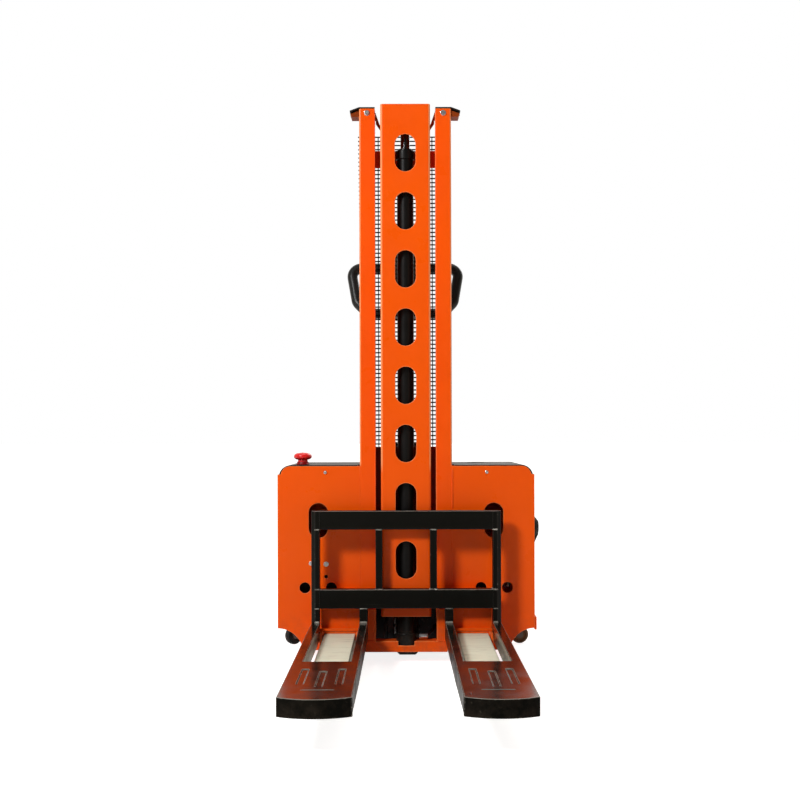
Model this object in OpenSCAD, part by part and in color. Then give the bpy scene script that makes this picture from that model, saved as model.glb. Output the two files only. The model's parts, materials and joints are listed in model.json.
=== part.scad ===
// Self-loading stacker: an electric stacker whose lifting mast stands between two fixed
// columns, with forks that straddle telescopic legs and a tiller behind the mast.
// X runs across the machine, the forks point to -Y, and the floor is Z = 0.
// The origin is on the floor below the middle of the whole machine.

/* [Body] */
// Width of the body over its side covers
body_w = 780; // [760:5:820]
// Depth of the body from the front panels to the rear cover
body_depth = 430; // [425:5:470]
// Height of the top edge of the front panels
panel_top = 590; // [585:5:630]
// Height at which the lid meets the side covers
lid_seam = 565; // [545:5:570]
// Thickness of the lid over the panels
lid_t = 3; // [2:1:14]
// Radius of the panels' top outer corners
panel_corner = 30; // [20:1:36]
// Sheet thickness of the covers
sheet = 4; // [3:0.5:5]
// Radius of the cut at the panels' outer bottom corners
arch_r = 78; // [60:1:90]
// Height of the side covers above the floor
skirt_z = 98; // [95:1:110]
// Width of the tall holes in the front panels
view_w = 58; // [40:1:64]
// Height of the tall holes in the front panels
view_h = 106; // [80:1:120]
// Diameter of the round holes in the front panels
port_d = 33; // [20:1:38]

/* [Chassis] */
// Clearance below the chassis
base_low = 32; // [28:1:36]
// Height of the front bar of the chassis
base_bar_h = 33; // [26:1:36]
// How far the front bar stands ahead of the columns
base_reach = 40; // [36:1:44]
// Thickness of the side plates of the chassis
side_plate = 13; // [10:1:15]
// Thickness of the floor trays
tray_t = 4; // [3:0.5:6]

/* [Mast] */
// Height of the fixed columns
column_top = 1677; // [1600:1:1720]
// Clear width between the two columns
mast_clear = 184; // [180:1:190]
// Width of a column, seen from the front
column_w = 48; // [46:1:52]
// Depth of a column
column_d = 55; // [52:1:58]
// Wall of a column
column_t = 8; // [6:1:9]
// Width of the moving inner mast
inner_w = 150; // [144:1:154]
// Sheet thickness of the inner mast
inner_t = 6; // [5:0.5:8]
// Height of the inner mast above the columns when lowered
inner_rise = 1; // [0:1:20]
// Lower end of the inner mast when lowered
inner_bottom = 140; // [136:1:144]
// Number of openings in the inner mast
slot_n = 8; // [6:1:8]
// Width of an opening in the inner mast
slot_w = 62; // [50:1:70]
// Height of an opening in the inner mast
slot_h = 112; // [90:1:130]
// Distance between the openings
slot_pitch = 174.5; // [160:0.5:176]
// Distance from the top of the inner mast to its first opening
slot_margin = 91; // [70:1:100]
// Diameter of a guide roller's pin
roller_pin_d = 18; // [14:1:22]

/* [Lift cylinder] */
// Outer diameter of the cylinder's barrel
barrel_d = 50; // [46:1:54]
// Wall of the barrel
barrel_wall = 5; // [4:0.5:6]
// Diameter of the piston rod
rod_d = 28; // [22:1:32]
// Distance from the top of the columns down to the cylinder's gland
gland_drop = 128; // [120:2:170]

/* [Guard] */
// Distance between the horizontal wires of the guard
wire_pitch = 12.8; // [12.6:0.1:16]
// Thickness of a guard wire
wire_d = 3; // [2:0.5:4]
// Top of the guard below the top of the columns
guard_drop = 74; // [60:1:90]
// Height of the plate that closes the mast below the guard
back_plate_top = 648; // [620:1:680]
// Thickness of that plate and of the upper cross member
back_plate_t = 8; // [6:1:8]

/* [Forks] */
// Straight length of a fork
fork_length = 1097; // [1000:1:1150]
// Width of a fork
fork_w = 167; // [160:1:172]
// Width of a fork's inner rail
rail_w = 24; // [20:1:26]
// Height of a fork's upper face when lowered
fork_top = 127; // [124:1:134]
// Height of a rail at the heel
rail_h = 52; // [46:1:54]
// Height of the fork at its nose
nose_h = 42; // [36:1:44]
// How far the nose bulges ahead of its corners
nose_bulge = 27; // [20:1:34]
// Plate thickness of a fork's tip
fork_plate = 8; // [6:1:9]
// Length of the closed tip of a fork
tip_len = 441; // [400:1:450]
// Depth of the pressed pockets in a fork's tip
pocket_depth = 2; // [1:0.5:3]
// Length of the pressed pockets
pocket_len = 200; // [160:5:220]
// Width of the pressed pockets
pocket_w = 16; // [12:1:20]

/* [Fork frame] */
// Width over the outer posts
frame_w = 564; // [556:2:570]
// Depth of the frame's bars
frame_d = 40; // [36:1:42]
// Distance from the front panels to the front of the frame
frame_set = 93; // [91:1:96]
// Top of the upper bar
bar_top = 459; // [440:1:480]
// Height of the upper bar
bar_h = 55; // [45:1:60]
// Top of the lower bar
low_bar_top = 226; // [220:1:236]
// Height of the lower bar
low_bar_h = 56; // [50:1:58]
// Width of the outer posts
post_w = 25; // [22:1:28]
// Width of the middle posts
mid_post_w = 20; // [16:1:20]
// Distance from the centre line to a middle post
mid_post_x = 71; // [68:1:74]
// Chamfer on the frame's front corners
frame_chamfer = 11; // [6:1:14]

/* [Legs] */
// Width of a telescopic leg
leg_w = 92; // [86:1:96]
// Height of a telescopic leg
leg_h = 55; // [50:1:58]
// Wall of a telescopic leg
leg_wall = 8; // [6:1:9]
// Height of a leg's underside above the floor
leg_low = 38; // [36:1:40]
// Diameter of a leg's wheel
leg_wheel_d = 74; // [70:1:76]
// Width of a leg's wheel
leg_wheel_w = 60; // [50:1:64]
// Diameter of a leg wheel's axle
leg_axle_d = 16; // [12:1:20]
// Distance from the front panels to a leg wheel's axle
leg_reach = 750; // [700:5:760]

/* [Drive] */
// Distance from the front panels to the steering axis
drive_y = 115; // [114:1:122]
// Diameter of the drive wheel
drive_d = 170; // [150:1:172]
// Width of the drive wheel
drive_w = 68; // [60:1:70]
// Diameter of the drive motor
motor_d = 92; // [84:1:94]
// Diameter of the drive wheel's axle
drive_axle_d = 20; // [16:1:24]

/* [Tiller] */
// Height of the tiller's pivot
pivot_z = 645; // [642:1:655]
// Distance of the pivot behind the steering axis
pivot_back = 50; // [46:1:54]
// Diameter of the pivot pin
pivot_d = 16; // [12:1:18]
// Lean of the upright tiller
lean = 18; // [16:1:24]
// Length from the pivot to the lower end of the head
arm_len = 440; // [420:1:460]
// Width over the handle's grips
handle_w = 392; // [370:2:396]
// Diameter of the grips
grip_d = 34; // [28:1:36]
// Height of the head from its lower end to the top bar
head_h = 180; // [176:1:195]

/* [Small parts] */
// Diameter of the emergency stop's head
stop_d = 56; // [40:1:60]
// Travel of the emergency stop
stop_travel = 5; // [3:0.5:5]
// Distance from the centre line to the emergency stop
stop_x = 318; // [300:1:324]
// Diameter of a caster's wheel
caster_d = 58; // [54:1:60]
// Width of a caster's wheel
caster_w = 24; // [20:1:26]
// Offset between a caster's swivel axis and its wheel
caster_trail = 22; // [18:1:24]
// Distance from the side of the body to a caster's swivel axis
caster_inset = 40; // [38:1:46]
// Height of the charging socket
socket_z = 395; // [380:1:420]
// Diameter of the charging socket's foot
socket_d = 92; // [80:1:96]

/* [Hidden] */
$fn = 48;

orange = "#f0560f";
frame_black = "#2a2a27";
gloss_black = "#1c1a1a";
ivory = "#d9d2ba";
steel = "#b9bcbf";
dark_grey = "#3c3e40";
rubber_black = "#1f1f20";
stop_red = "#c81e1e";

// Clearances
run_gap = 0.05;      // radial gap of a shaft in its bore
clear = 0.5;         // gap between sliding faces
seat_gap = 0.3;      // gap where a curved face lies on its seat
side_gap = 1;        // gap between the fork and what it straddles

// Places along Y, counted from the front panels
frame_front = -frame_set;
frame_back = frame_front + frame_d;
fork_reach = frame_set + fork_length + nose_bulge;
front_y = (fork_reach - body_depth) / 2;   // the front panels in the part's own frame

// Mast
column_in = mast_clear / 2;
column_out = column_in + column_w;
roller_d = column_d - 2 * column_t - 2 * seat_gap;
roller_y = column_d / 2;
roller_z = [170, 330];
roller_in = column_in + 2;
roller_out = column_out - column_t - 4;
inner_top = column_top + inner_rise;
inner_back = column_d - 10;
inner_corner = 8;
anchor_z = inner_top - 34;      // underside of the plate that the rod pushes on
anchor_t = 12;
cross_z = column_top - 170;     // upper cross member
cross_h = 52;
mast_rear = column_d + back_plate_t;
head_wing = 27;
head_fall = 10;

// Lift cylinder
cyl_y = -10;
foot_notch = 13;
cyl_base = base_low + base_bar_h - foot_notch;
gland_top = column_top - gland_drop;
gland_h = 32;
piston_h = 30;
port_z = cyl_base + 24;
stud_d = 18;

// Chassis
base_top = base_low + base_bar_h;
base_half = column_out - 16;
tongue = 18;
opening_half = column_in;
bracket_top = 160;
curtain_y = 240;
curtain_low = 28;
plate_in = column_out - side_plate;
plate_rear = body_depth - 10;
tray_z = 104;
mount_z = 200;
mount_t = 10;
bulkhead_y = body_depth - 194;
bulkhead_top = panel_top - 35;
cross_tube = 40;
caster_y = body_depth - 94;
caster_top = 84;
caster_plate_t = 6;
caster_plate = 72;

// Forks and fork frame
fork_out = frame_w / 2;
fork_in = fork_out - fork_w;
window_in = fork_in + rail_w;
window_out = fork_out - post_w;
fork_tip = frame_front - fork_length;
nose_y = fork_tip - nose_bulge;
window_front = fork_tip + tip_len;
rail_end = window_front - 42;
nose_taper = 5;
nose_half = (fork_w - nose_taper) / 2;
nose_r = (nose_half * nose_half + nose_bulge * nose_bulge) / (2 * nose_bulge);
nose_x = fork_out - nose_half;
fork_mid = (fork_in + fork_out) / 2;
pocket_gap = 44;
pocket_front = fork_tip + 140;
mid_pocket_shift = 30;
post_seat = 1;

// Legs
leg_x = (window_in + window_out) / 2;
leg_top = leg_low + leg_h;
leg_front = -leg_reach - 50;
leg_overlap = 285;
sleeve_rear = body_depth - 20;
leg_rear = sleeve_rear - leg_overlap;
sleeve_in = window_in + side_gap;
sleeve_out = window_out - side_gap;
sleeve_low = leg_low - clear - 8.5;
sleeve_top = tray_z;
sleeve_front = -75;
heel_back_top = low_bar_top - 6;
cheek_len = 55;
leg_wheel_y = -leg_reach;

// Drive unit and steering
drive_r = drive_d / 2;
wheel_shift = 4;
wheel_left = wheel_shift - drive_w / 2;
wheel_right = wheel_shift + drive_w / 2;
turret_r = 60;
turret_z = mount_z - 24;
neck_d = 87.4;
motor_z = mount_z + mount_t + 2;
motor_top = 436;
brake_top = 460;
gear_r = 50;
gear_t = 10;
leg_plate = 20;

// Lid and panels
half_w = body_w / 2;
caster_x = half_w - caster_inset;
lid_top = panel_top + lid_t;
lid_half = half_w - sheet;
lid_side = 5;
lid_corner = panel_corner + 6;
lid_notch_half = column_out + 8;
lid_notch_y = mast_rear + 9;
tiller_hole_r = 56;

// Tiller
pivot_y = drive_y + pivot_back;
flange_z = lid_top + 3;
flange_t = 8;
ear_in = 26;
ear_t = 10;
boss_r = 17;
arm_w = 50;
arm_t = 34;
head_t = 44;
head_half = 58;
bar_z = arm_len + head_h;
low_bar_z = arm_len + 18;
throttle_z = arm_len + 128;
shaft_r = 7;
button_z = arm_len + 70;
button_x = 24;
button_r = 10;
belly_travel = 8;
belly_w = 60;
belly_d = 24;
head_top = bar_z + 43;
pocket_z = bar_z + grip_d / 2 + 2;

// Casters and charging socket
caster_r = caster_d / 2;
left_turn = 125;
right_turn = -90;
socket_y = 140;
socket_h = 11;
socket_mouth = 66;
cap_h = 14;
cap_face = 37;
hinge_x = half_w + 6;
hinge_z = socket_z - socket_d / 2 - 8;
hinge_d = 4;
knuckle_r = 4;

// Hydraulic pack, hose and switches
pack_x = (column_out + half_w) / 2 - 30;
pack_z = 185;
tank_rear = plate_rear - cross_tube - 6;
hose_y = 226;
hose_r = 6;
hose_hole = [212, 150, 22];
hose_route = [[51, -10, 76], [58, -3, 77], [63, 7, 78], [70, 22, 81], [79, 38, 85], [84, 50, 89],
              [85, 62, 93], [92, 76, 97], [102, 98, 100], [109, 125, 103], [112, 155, 110],
              [115, 185, 125], [124, 208, 146], [140, 221, 160], [157, 226, 165]];
stop_y = 70;
stop_collar = 10;
box_front = body_depth - 190;
box_rear = body_depth - 20;
box_low = 360;
box_top = lid_seam - 25;
stop_stem = 30;

// Fasteners
bolt_d = 17;
screw_d = 11;

// A block between two corners
module block(lo, hi) {
    translate(lo) cube(hi - lo);
}

// An outline in X and Z, thick along Y
module xz(y0, y1) {
    translate([0, y1, 0]) rotate([90, 0, 0]) linear_extrude(y1 - y0) children();
}

// An outline in Y and Z, thick along X
module yz(x0, x1) {
    translate([x0, 0, 0]) rotate([90, 0, 90]) linear_extrude(x1 - x0) children();
}

// An outline in X and Y, thick along Z
module xy(z0, z1) {
    translate([0, 0, z0]) linear_extrude(z1 - z0) children();
}

// A round bar along X, along Y or along Z
module bar_x(r, x0, x1) {
    translate([x0, 0, 0]) rotate([0, 90, 0]) cylinder(r = r, h = x1 - x0);
}

module bar_y(r, y0, y1) {
    translate([0, y1, 0]) rotate([90, 0, 0]) cylinder(r = r, h = y1 - y0);
}

module bar_z(r, z0, z1) {
    translate([0, 0, z0]) cylinder(r = r, h = z1 - z0);
}

// A flat rectangle with round corners
module round_rect(w, h, r) {
    square([w - 2 * r, h], center = true);
    square([w, h - 2 * r], center = true);
    for (x = [-1, 1], y = [-1, 1])
        translate([x * (w / 2 - r), y * (h / 2 - r)]) circle(r);
}

// A flat oblong hole with round ends, tall or wide
module oblong(w, h) {
    d = min(w, h);
    square([w > h ? w - d : w, w > h ? h : h - d], center = true);
    for (s = [-1, 1])
        translate([s * (w > h ? (w - d) / 2 : 0), s * (w > h ? 0 : (h - d) / 2)]) circle(d / 2);
}

// The machine's own place: children are drawn with Y counted from the front panels
module placed() {
    translate([0, front_y, 0]) children();
}

// The right-hand piece as drawn, or its mirror image on the left
module on_side(side) {
    placed() mirror([side < 0 ? 1 : 0, 0, 0]) children();
}

// The tiller's frame: origin on its pivot, Z along the arm
module on_tiller() {
    placed() translate([0, pivot_y, pivot_z]) rotate([-lean, 0, 0]) children();
}

// Chassis: front bar, opening beside the lift cylinder, side plates, trays and rear tube
module base_frame() {
    color(orange) placed() {
        difference() {
            union() {
                block([-base_half, -base_reach, base_low], [base_half, 0, base_top]);
                block([-column_in, -1, base_low], [column_in, tongue, base_top]);
            }
            translate([0, cyl_y, 0]) bar_z(barrel_d / 2 + 6, cyl_base, base_top + 1);
            block([-24, -base_reach - 1, cyl_base], [24, cyl_y, base_top + 1]);
        }
        for (s = [-1, 1]) mirror([s < 0 ? 1 : 0, 0, 0]) {
            yz(opening_half, opening_half + 8)
                polygon([[-base_reach, base_top], [0, base_top], [0, bracket_top],
                         [-base_reach, bracket_top]]);
            block([opening_half + 8, -base_reach, base_top], [base_half, -base_reach + 6, bracket_top]);
            difference() {
                block([plate_in, column_d, base_low], [column_out, plate_rear, mount_z]);
                translate([0, hose_hole[0], hose_hole[1]]) bar_x(hose_hole[2], plate_in - 1, column_out + 1);
            }
            block([plate_in, bulkhead_y, mount_z], [column_out, plate_rear, bulkhead_top]);
            block([column_out, sheet, tray_z],
                  [half_w - sheet - 2, plate_rear - cross_tube, tray_z + tray_t]);
            block([caster_x - caster_plate / 2, caster_y - caster_plate / 2, caster_top + caster_plate_t],
                  [half_w - sheet - 2, caster_y + caster_plate / 2, tray_z]);
        }
        block([-half_w + sheet + 2, plate_rear - cross_tube, tray_z],
              [half_w - sheet - 2, plate_rear, tray_z + cross_tube]);
    }
}

// Plate that carries the steering turret, with the bearing's outer ring and a dark splash plate
module drive_mount() {
    color(dark_grey) placed() difference() {
        union() {
            block([-plate_in, mast_rear, mount_z], [plate_in, curtain_y, mount_z + mount_t]);
            block([-plate_in, curtain_y - 6, curtain_low], [plate_in, curtain_y, mount_z]);
            translate([0, drive_y, 0]) bar_z(turret_r + 14, mount_z - 20, mount_z);
        }
        translate([0, drive_y, 0]) bar_z(turret_r + seat_gap, mount_z - 21, mount_z);
        translate([0, drive_y, 0]) bar_z(neck_d / 2 + seat_gap, mount_z - 1, mount_z + mount_t + 1);
    }
}

// Outline of the right column: a channel open towards the middle, its outer corners bent
module column_outline() {
    bend = 6;
    difference() {
        union() {
            translate([column_in, 0]) square([column_w - bend, column_d]);
            translate([column_in, bend]) square([column_w, column_d - 2 * bend]);
            for (y = [bend, column_d - bend]) translate([column_out - bend, y]) circle(bend);
        }
        translate([column_in - 1, column_t])
            square([column_w - column_t + 1, column_d - 2 * column_t]);
    }
}

module mast_column(side) {
    color(orange) on_side(side) xy(base_low, column_top) column_outline();
}

// Plate across the back of the mast below the guard
module mast_back_plate() {
    color(orange) placed()
        block([-column_out, column_d, mount_z], [column_out, mast_rear, back_plate_top]);
}

// Upper cross member behind the columns
module mast_cross_member() {
    color(orange) placed()
        block([-column_out, column_d, cross_z], [column_out, mast_rear, cross_z + cross_h]);
}

// Head plate: wings outside the columns and a strap that dips behind the inner mast
module mast_top_bracket() {
    wing_h = 24;
    strap = 26;
    dip = 48;
    color(orange) placed() {
        xz(column_d, mast_rear) for (s = [-1, 1]) mirror([s < 0 ? 1 : 0, 0, 0]) {
            polygon([[column_in - 2, column_top], [column_out, column_top],
                     [column_out + head_wing, column_top - head_fall],
                     [column_out + head_wing - 4, column_top - wing_h],
                     [column_in - 2, column_top - wing_h]]);
            polygon([[column_in - 2, column_top - 3], [column_in - 2, column_top - 3 - strap * 1.2],
                     [column_in - 22, column_top - dip - strap * 0.6], [0, column_top - dip - strap * 0.6],
                     [0, column_top - dip + strap * 0.4], [column_in - 14, column_top - dip + strap * 0.4]]);
        }
        for (s = [-1, 1]) mirror([s < 0 ? 1 : 0, 0, 0])
            xz(column_t, column_d)
                polygon([[column_out, column_top - 4], [column_out + head_wing, column_top - head_fall - 4],
                         [column_out + head_wing - 4, column_top - wing_h],
                         [column_out, column_top - wing_h]]);
    }
}

// Dark caps on the tops of the columns, bent down over the wings
module column_caps() {
    cap_t = 4;
    edge = head_wing + 1;
    fall = head_fall * edge / head_wing;
    color(rubber_black) for (s = [-1, 1]) on_side(s) xz(-1, mast_rear)
        polygon([[column_in, column_top], [column_out, column_top],
                 [column_out + edge, column_top - fall], [column_out + edge, column_top - fall + cap_t],
                 [column_out, column_top + cap_t], [column_in, column_top + cap_t]]);
}

// Wire guard behind the mast: level wires on five upright ones, their left ends standing past the column
module wire_guard() {
    guard_low = back_plate_top - 6;
    guard_top = column_top - guard_drop;
    edge = column_out - 4;
    stub = 9.5;
    uprights = [-edge, -edge * 0.61, 0, edge * 0.61, edge];
    rows = floor((guard_top - guard_low) / wire_pitch);
    color(frame_black) placed() xz(mast_rear, mast_rear + wire_d) difference() {
        translate([-edge - stub, guard_low])
            square([2 * edge + stub + wire_d / 2, rows * wire_pitch + wire_d]);
        for (r = [0 : rows - 1]) {
            for (c = [0 : 3])
                translate([uprights[c] + wire_d / 2, guard_low + wire_d + r * wire_pitch])
                    square([uprights[c + 1] - uprights[c] - wire_d, wire_pitch - wire_d]);
            translate([-edge - stub - 1, guard_low + wire_d + r * wire_pitch])
                square([stub + 1 - wire_d / 2, wire_pitch - wire_d]);
        }
    }
}

// Barrel of the lift cylinder with its foot, port and gland
module lift_cylinder() {
    color(frame_black) placed() translate([0, cyl_y, 0]) difference() {
        union() {
            bar_z(barrel_d / 2, cyl_base, gland_top - gland_h);
            bar_z(barrel_d / 2 + 5, cyl_base, cyl_base + 34);
            bar_z(barrel_d / 2 + 4, gland_top - gland_h, gland_top - 6);
            bar_z(barrel_d / 2 - 3, gland_top - 6, gland_top);
            translate([0, 0, port_z]) bar_x(9, barrel_d / 2, barrel_d / 2 + 14);
        }
        bar_z(barrel_d / 2 - barrel_wall, cyl_base + 14, gland_top - gland_h);
        bar_z(rod_d / 2 + run_gap, gland_top - gland_h - 1, gland_top + 1);
    }
}

// Piston rod, its piston and the stud and nut that hold it to the inner mast
module lift_rod() {
    color(steel) placed() translate([0, cyl_y, 0]) {
        bar_z(barrel_d / 2 - barrel_wall - seat_gap, cyl_base + 20, cyl_base + 20 + piston_h);
        bar_z(rod_d / 2, cyl_base + 20 + piston_h, anchor_z);
        bar_z(stud_d / 2, anchor_z, anchor_z + anchor_t + 14);
        translate([0, 0, anchor_z + anchor_t]) cylinder(d = stud_d * 1.8, h = 12, $fn = 6);
    }
}

// Moving inner mast: a bent channel with oblong openings, closed on top by the rod's anchor
module inner_mast() {
    hollow = inner_w / 2 - inner_t;
    color(orange) placed() difference() {
        union() {
            xy(inner_bottom, inner_top) difference() {
                union() {
                    translate([-inner_w / 2, frame_back + inner_corner])
                        square([inner_w, inner_back - frame_back - inner_corner]);
                    translate([-inner_w / 2 + inner_corner, frame_back])
                        square([inner_w - 2 * inner_corner, inner_corner]);
                    for (s = [-1, 1])
                        translate([s * (inner_w / 2 - inner_corner), frame_back + inner_corner])
                            circle(inner_corner);
                }
                translate([-hollow, frame_back + inner_t])
                    square([2 * hollow, inner_back - frame_back]);
            }
            block([-hollow, frame_back + inner_t, anchor_z], [hollow, inner_back - 8, anchor_z + anchor_t]);
            for (s = [-1, 1], z = roller_z)
                translate([0, roller_y, z])
                    bar_x(roller_pin_d / 2, s < 0 ? -roller_out - 2 : inner_w / 2 - 1,
                          s < 0 ? -inner_w / 2 + 1 : roller_out + 2);
        }
        for (i = [0 : slot_n - 1])
            translate([0, 0, inner_top - slot_margin - slot_h / 2 - i * slot_pitch])
                xz(frame_back - 1, frame_back + inner_t + 1) oblong(slot_w, slot_h);
        translate([0, cyl_y, 0]) bar_z(stud_d / 2 + clear, anchor_z - 1, anchor_z + anchor_t + 1);
    }
}

// Guide roller on its pin, running inside a column
module guide_roller(side, z) {
    lip = 3;
    color(steel) on_side(side) translate([0, roller_y, z]) rotate([0, 90, 0]) rotate_extrude()
        polygon([[roller_pin_d / 2 + run_gap, roller_in], [roller_d / 2 - lip, roller_in],
                 [roller_d / 2, roller_in + lip], [roller_d / 2, roller_out - lip],
                 [roller_d / 2 - lip, roller_out], [roller_pin_d / 2 + run_gap, roller_out]]);
}

// Outline of a bar of the fork frame from above, its front corners cut
module bar_outline(x0, x1, cut0, cut1) {
    polygon([[x0, frame_back], [x0, frame_front + cut0], [x0 + cut0, frame_front],
             [x1 - cut1, frame_front], [x1, frame_front + cut1], [x1, frame_back]]);
}

// Fork frame: two bars, the outer and middle posts and the short posts over the inner rails
module fork_frame() {
    color(frame_black) placed() {
        xy(bar_top - bar_h, bar_top) bar_outline(-fork_out, fork_out, frame_chamfer, frame_chamfer);
        xy(low_bar_top - low_bar_h, low_bar_top)
            bar_outline(-fork_out, fork_out, frame_chamfer, frame_chamfer);
        for (s = [-1, 1]) mirror([s < 0 ? 1 : 0, 0, 0]) {
            for (z = [[fork_top - post_seat, low_bar_top - low_bar_h], [low_bar_top, bar_top - bar_h]])
                xy(z[0], z[1]) bar_outline(window_out, fork_out, 0, frame_chamfer);
            xy(fork_top - post_seat, low_bar_top - low_bar_h) bar_outline(fork_in, window_in, 0, 0);
            xy(low_bar_top, bar_top - bar_h) bar_outline(mid_post_x, mid_post_x + mid_post_w, 0, 0);
        }
    }
}

// Plan of the right fork, drawn in by an inset
module fork_plan(inset) {
    intersection() {
        polygon([[fork_in + inset, frame_back], [fork_out - inset, frame_back],
                 [fork_out - inset, nose_y], [fork_in + nose_taper + inset, nose_y]]);
        union() {
            translate([nose_x, nose_y + nose_r]) circle(nose_r - inset, $fn = 128);
            translate([fork_in, fork_tip + inset / 2]) square([fork_w, frame_back - fork_tip]);
        }
    }
}

// Fork: two rails beside the window and a tip of bent plate with pressed pockets
module fork(side) {
    low = fork_top - rail_h;
    color(gloss_black) on_side(side) difference() {
        xy(low, fork_top) fork_plan(0);
        block([window_in, window_front, low - 1], [window_out, frame_back + 1, fork_top + 1]);
        block([window_in, rail_end, low - 1], [window_out, window_front + 1, fork_top - fork_plate]);
        xy(low - 1, fork_top - fork_plate) intersection() {
            fork_plan(fork_plate);
            translate([fork_in, nose_y]) square([fork_w, rail_end - nose_y + 1]);
        }
        yz(fork_in - 1, fork_out + 1)
            polygon([[rail_end, low], [nose_y - 1, fork_top - nose_h], [nose_y - 1, low - 1],
                     [rail_end, low - 1]]);
        for (i = [-1 : 1])
            translate([fork_mid + i * pocket_gap,
                       pocket_front + pocket_len / 2 - (i == 0 ? mid_pocket_shift : 0), 0])
                xy(fork_top - pocket_depth, fork_top + 1) oblong(pocket_w, pocket_len);
        translate([fork_mid, fork_tip + 78, 0])
            xy(fork_top - pocket_depth, fork_top + 1) oblong(71, 6);
        xy(fork_top - post_seat, fork_top + 1) {
            bar_outline(window_out, fork_out, 0, frame_chamfer);
            bar_outline(fork_in, window_in, 0, 0);
        }
    }
}

// Sleeve of a telescopic leg with the heel block that stands on it
module leg_sleeve(side) {
    mid = (sleeve_in + sleeve_out) / 2;
    wide = sleeve_out - sleeve_in;
    lip_r = 5;
    color(orange) on_side(side) {
        difference() {
            union() {
                block([sleeve_in, sleeve_front, sleeve_low], [sleeve_out, sleeve_rear, sleeve_top]);
                for (x = [sleeve_in, sleeve_out - 8])
                    yz(x, x + 8)
                        polygon([[sleeve_front + 1, sleeve_low], [sleeve_front - cheek_len + 14, sleeve_low],
                                 [sleeve_front - cheek_len, sleeve_low + 14],
                                 [sleeve_front - cheek_len, sleeve_top - 22],
                                 [sleeve_front - cheek_len + 16, sleeve_top - 4],
                                 [sleeve_front + 1, sleeve_top - 4]]);
                xz(frame_back + 4, 0) intersection() {
                    translate([mid, heel_back_top - 60]) round_rect(wide, 120, 14);
                    translate([sleeve_in, sleeve_top]) square([wide, 200]);
                }
                translate([0, sleeve_front, sleeve_top]) bar_x(lip_r, sleeve_in, sleeve_out);
            }
            block([leg_x - leg_w / 2 - clear, sleeve_front - cheek_len - 1, leg_low - clear],
                  [leg_x + leg_w / 2 + clear, sleeve_rear + 1, leg_top + clear]);
        }
    }
}

// Telescopic leg: a tube whose front end is open below for its wheel, with the wheel's axle
module leg_bar(side) {
    bay = leg_wheel_d / 2 + 10;
    in = leg_x - leg_w / 2;
    out = leg_x + leg_w / 2;
    cheek_low = 20;
    axle_z = leg_wheel_d / 2;
    color(ivory) on_side(side) {
        difference() {
            union() {
                block([in, leg_front, leg_low], [out, leg_rear, leg_top]);
                yz(in, out) polygon([[leg_wheel_y - bay + 12, cheek_low], [leg_wheel_y + bay - 20, cheek_low],
                                     [leg_wheel_y + bay + 6, leg_low + 1], [leg_front + 2, leg_low + 1]]);
            }
            block([in + leg_wall, leg_wheel_y + bay + 8, leg_low + leg_wall],
                  [out - leg_wall, leg_rear + 1, leg_top - leg_wall]);
            block([in + leg_wall, leg_front + 6, cheek_low - 1],
                  [out - leg_wall, leg_wheel_y + bay + 9, leg_top - leg_wall]);
        }
        translate([0, leg_wheel_y, axle_z]) bar_x(leg_axle_d / 2, in + leg_wall - 1, out - leg_wall + 1);
    }
}

// Wheel of a telescopic leg
module leg_wheel(side) {
    r = leg_wheel_d / 2;
    edge = 4;
    x0 = leg_x - leg_wheel_w / 2;
    x1 = leg_x + leg_wheel_w / 2;
    color(ivory) on_side(side) translate([0, leg_wheel_y, r]) rotate([0, 90, 0]) rotate_extrude()
        polygon([[leg_axle_d / 2 + run_gap, x0], [r - edge, x0], [r, x0 + edge], [r, x1 - edge],
                 [r - edge, x1], [leg_axle_d / 2 + run_gap, x1]]);
}

// Steering turret: bearing ring, gear case beside the wheel, and the wheel's axle
module drive_gearbox() {
    case_x = wheel_left - 8;
    color(dark_grey) placed() translate([0, drive_y, 0]) {
        bar_z(turret_r, turret_z, mount_z - 2);
        bar_z(neck_d / 2, mount_z - 2, motor_z);
        yz(case_x - leg_plate, case_x) {
            translate([0, drive_r]) circle(gear_r - 10);
            translate([-gear_r + 10, drive_r]) square([2 * gear_r - 20, turret_z - drive_r]);
        }
        translate([0, 0, drive_r]) bar_x(gear_r - 6, case_x - leg_plate - gear_t, case_x - leg_plate);
        translate([0, 0, drive_r]) bar_x(drive_axle_d / 2, case_x, wheel_right + 4);
    }
}

// Drive motor on top of the turret, with its brake
module drive_motor() {
    color(frame_black) placed() translate([0, drive_y, 0]) {
        difference() {
            bar_z(motor_d / 2, motor_z, motor_top);
            for (z = [motor_z + 40 : 16 : motor_top - 50]) translate([0, 0, z]) difference() {
                cylinder(d = motor_d + 2, h = 4);
                translate([0, 0, -1]) cylinder(d = motor_d - 5, h = 6);
            }
        }
        bar_z(motor_d / 2 - 8, motor_top, brake_top);
    }
}

// Drive wheel: hub and tyre turned as one, with bevelled shoulders
module drive_wheel() {
    edge = 9;
    bore = drive_axle_d / 2 + run_gap;
    color(rubber_black) placed() translate([0, drive_y, drive_r]) rotate([0, 90, 0]) rotate_extrude($fn = 96)
        polygon([[bore, wheel_left], [drive_r - edge - 22, wheel_left], [drive_r - edge - 20, wheel_left + 4],
                 [drive_r - edge - 14, wheel_left + 4], [drive_r - edge - 12, wheel_left],
                 [drive_r - edge, wheel_left], [drive_r, wheel_left + edge], [drive_r, wheel_right - edge],
                 [drive_r - edge, wheel_right], [drive_r - edge - 12, wheel_right],
                 [drive_r - edge - 14, wheel_right - 4], [drive_r - edge - 20, wheel_right - 4],
                 [drive_r - edge - 22, wheel_right], [bore, wheel_right]]);
}

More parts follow.
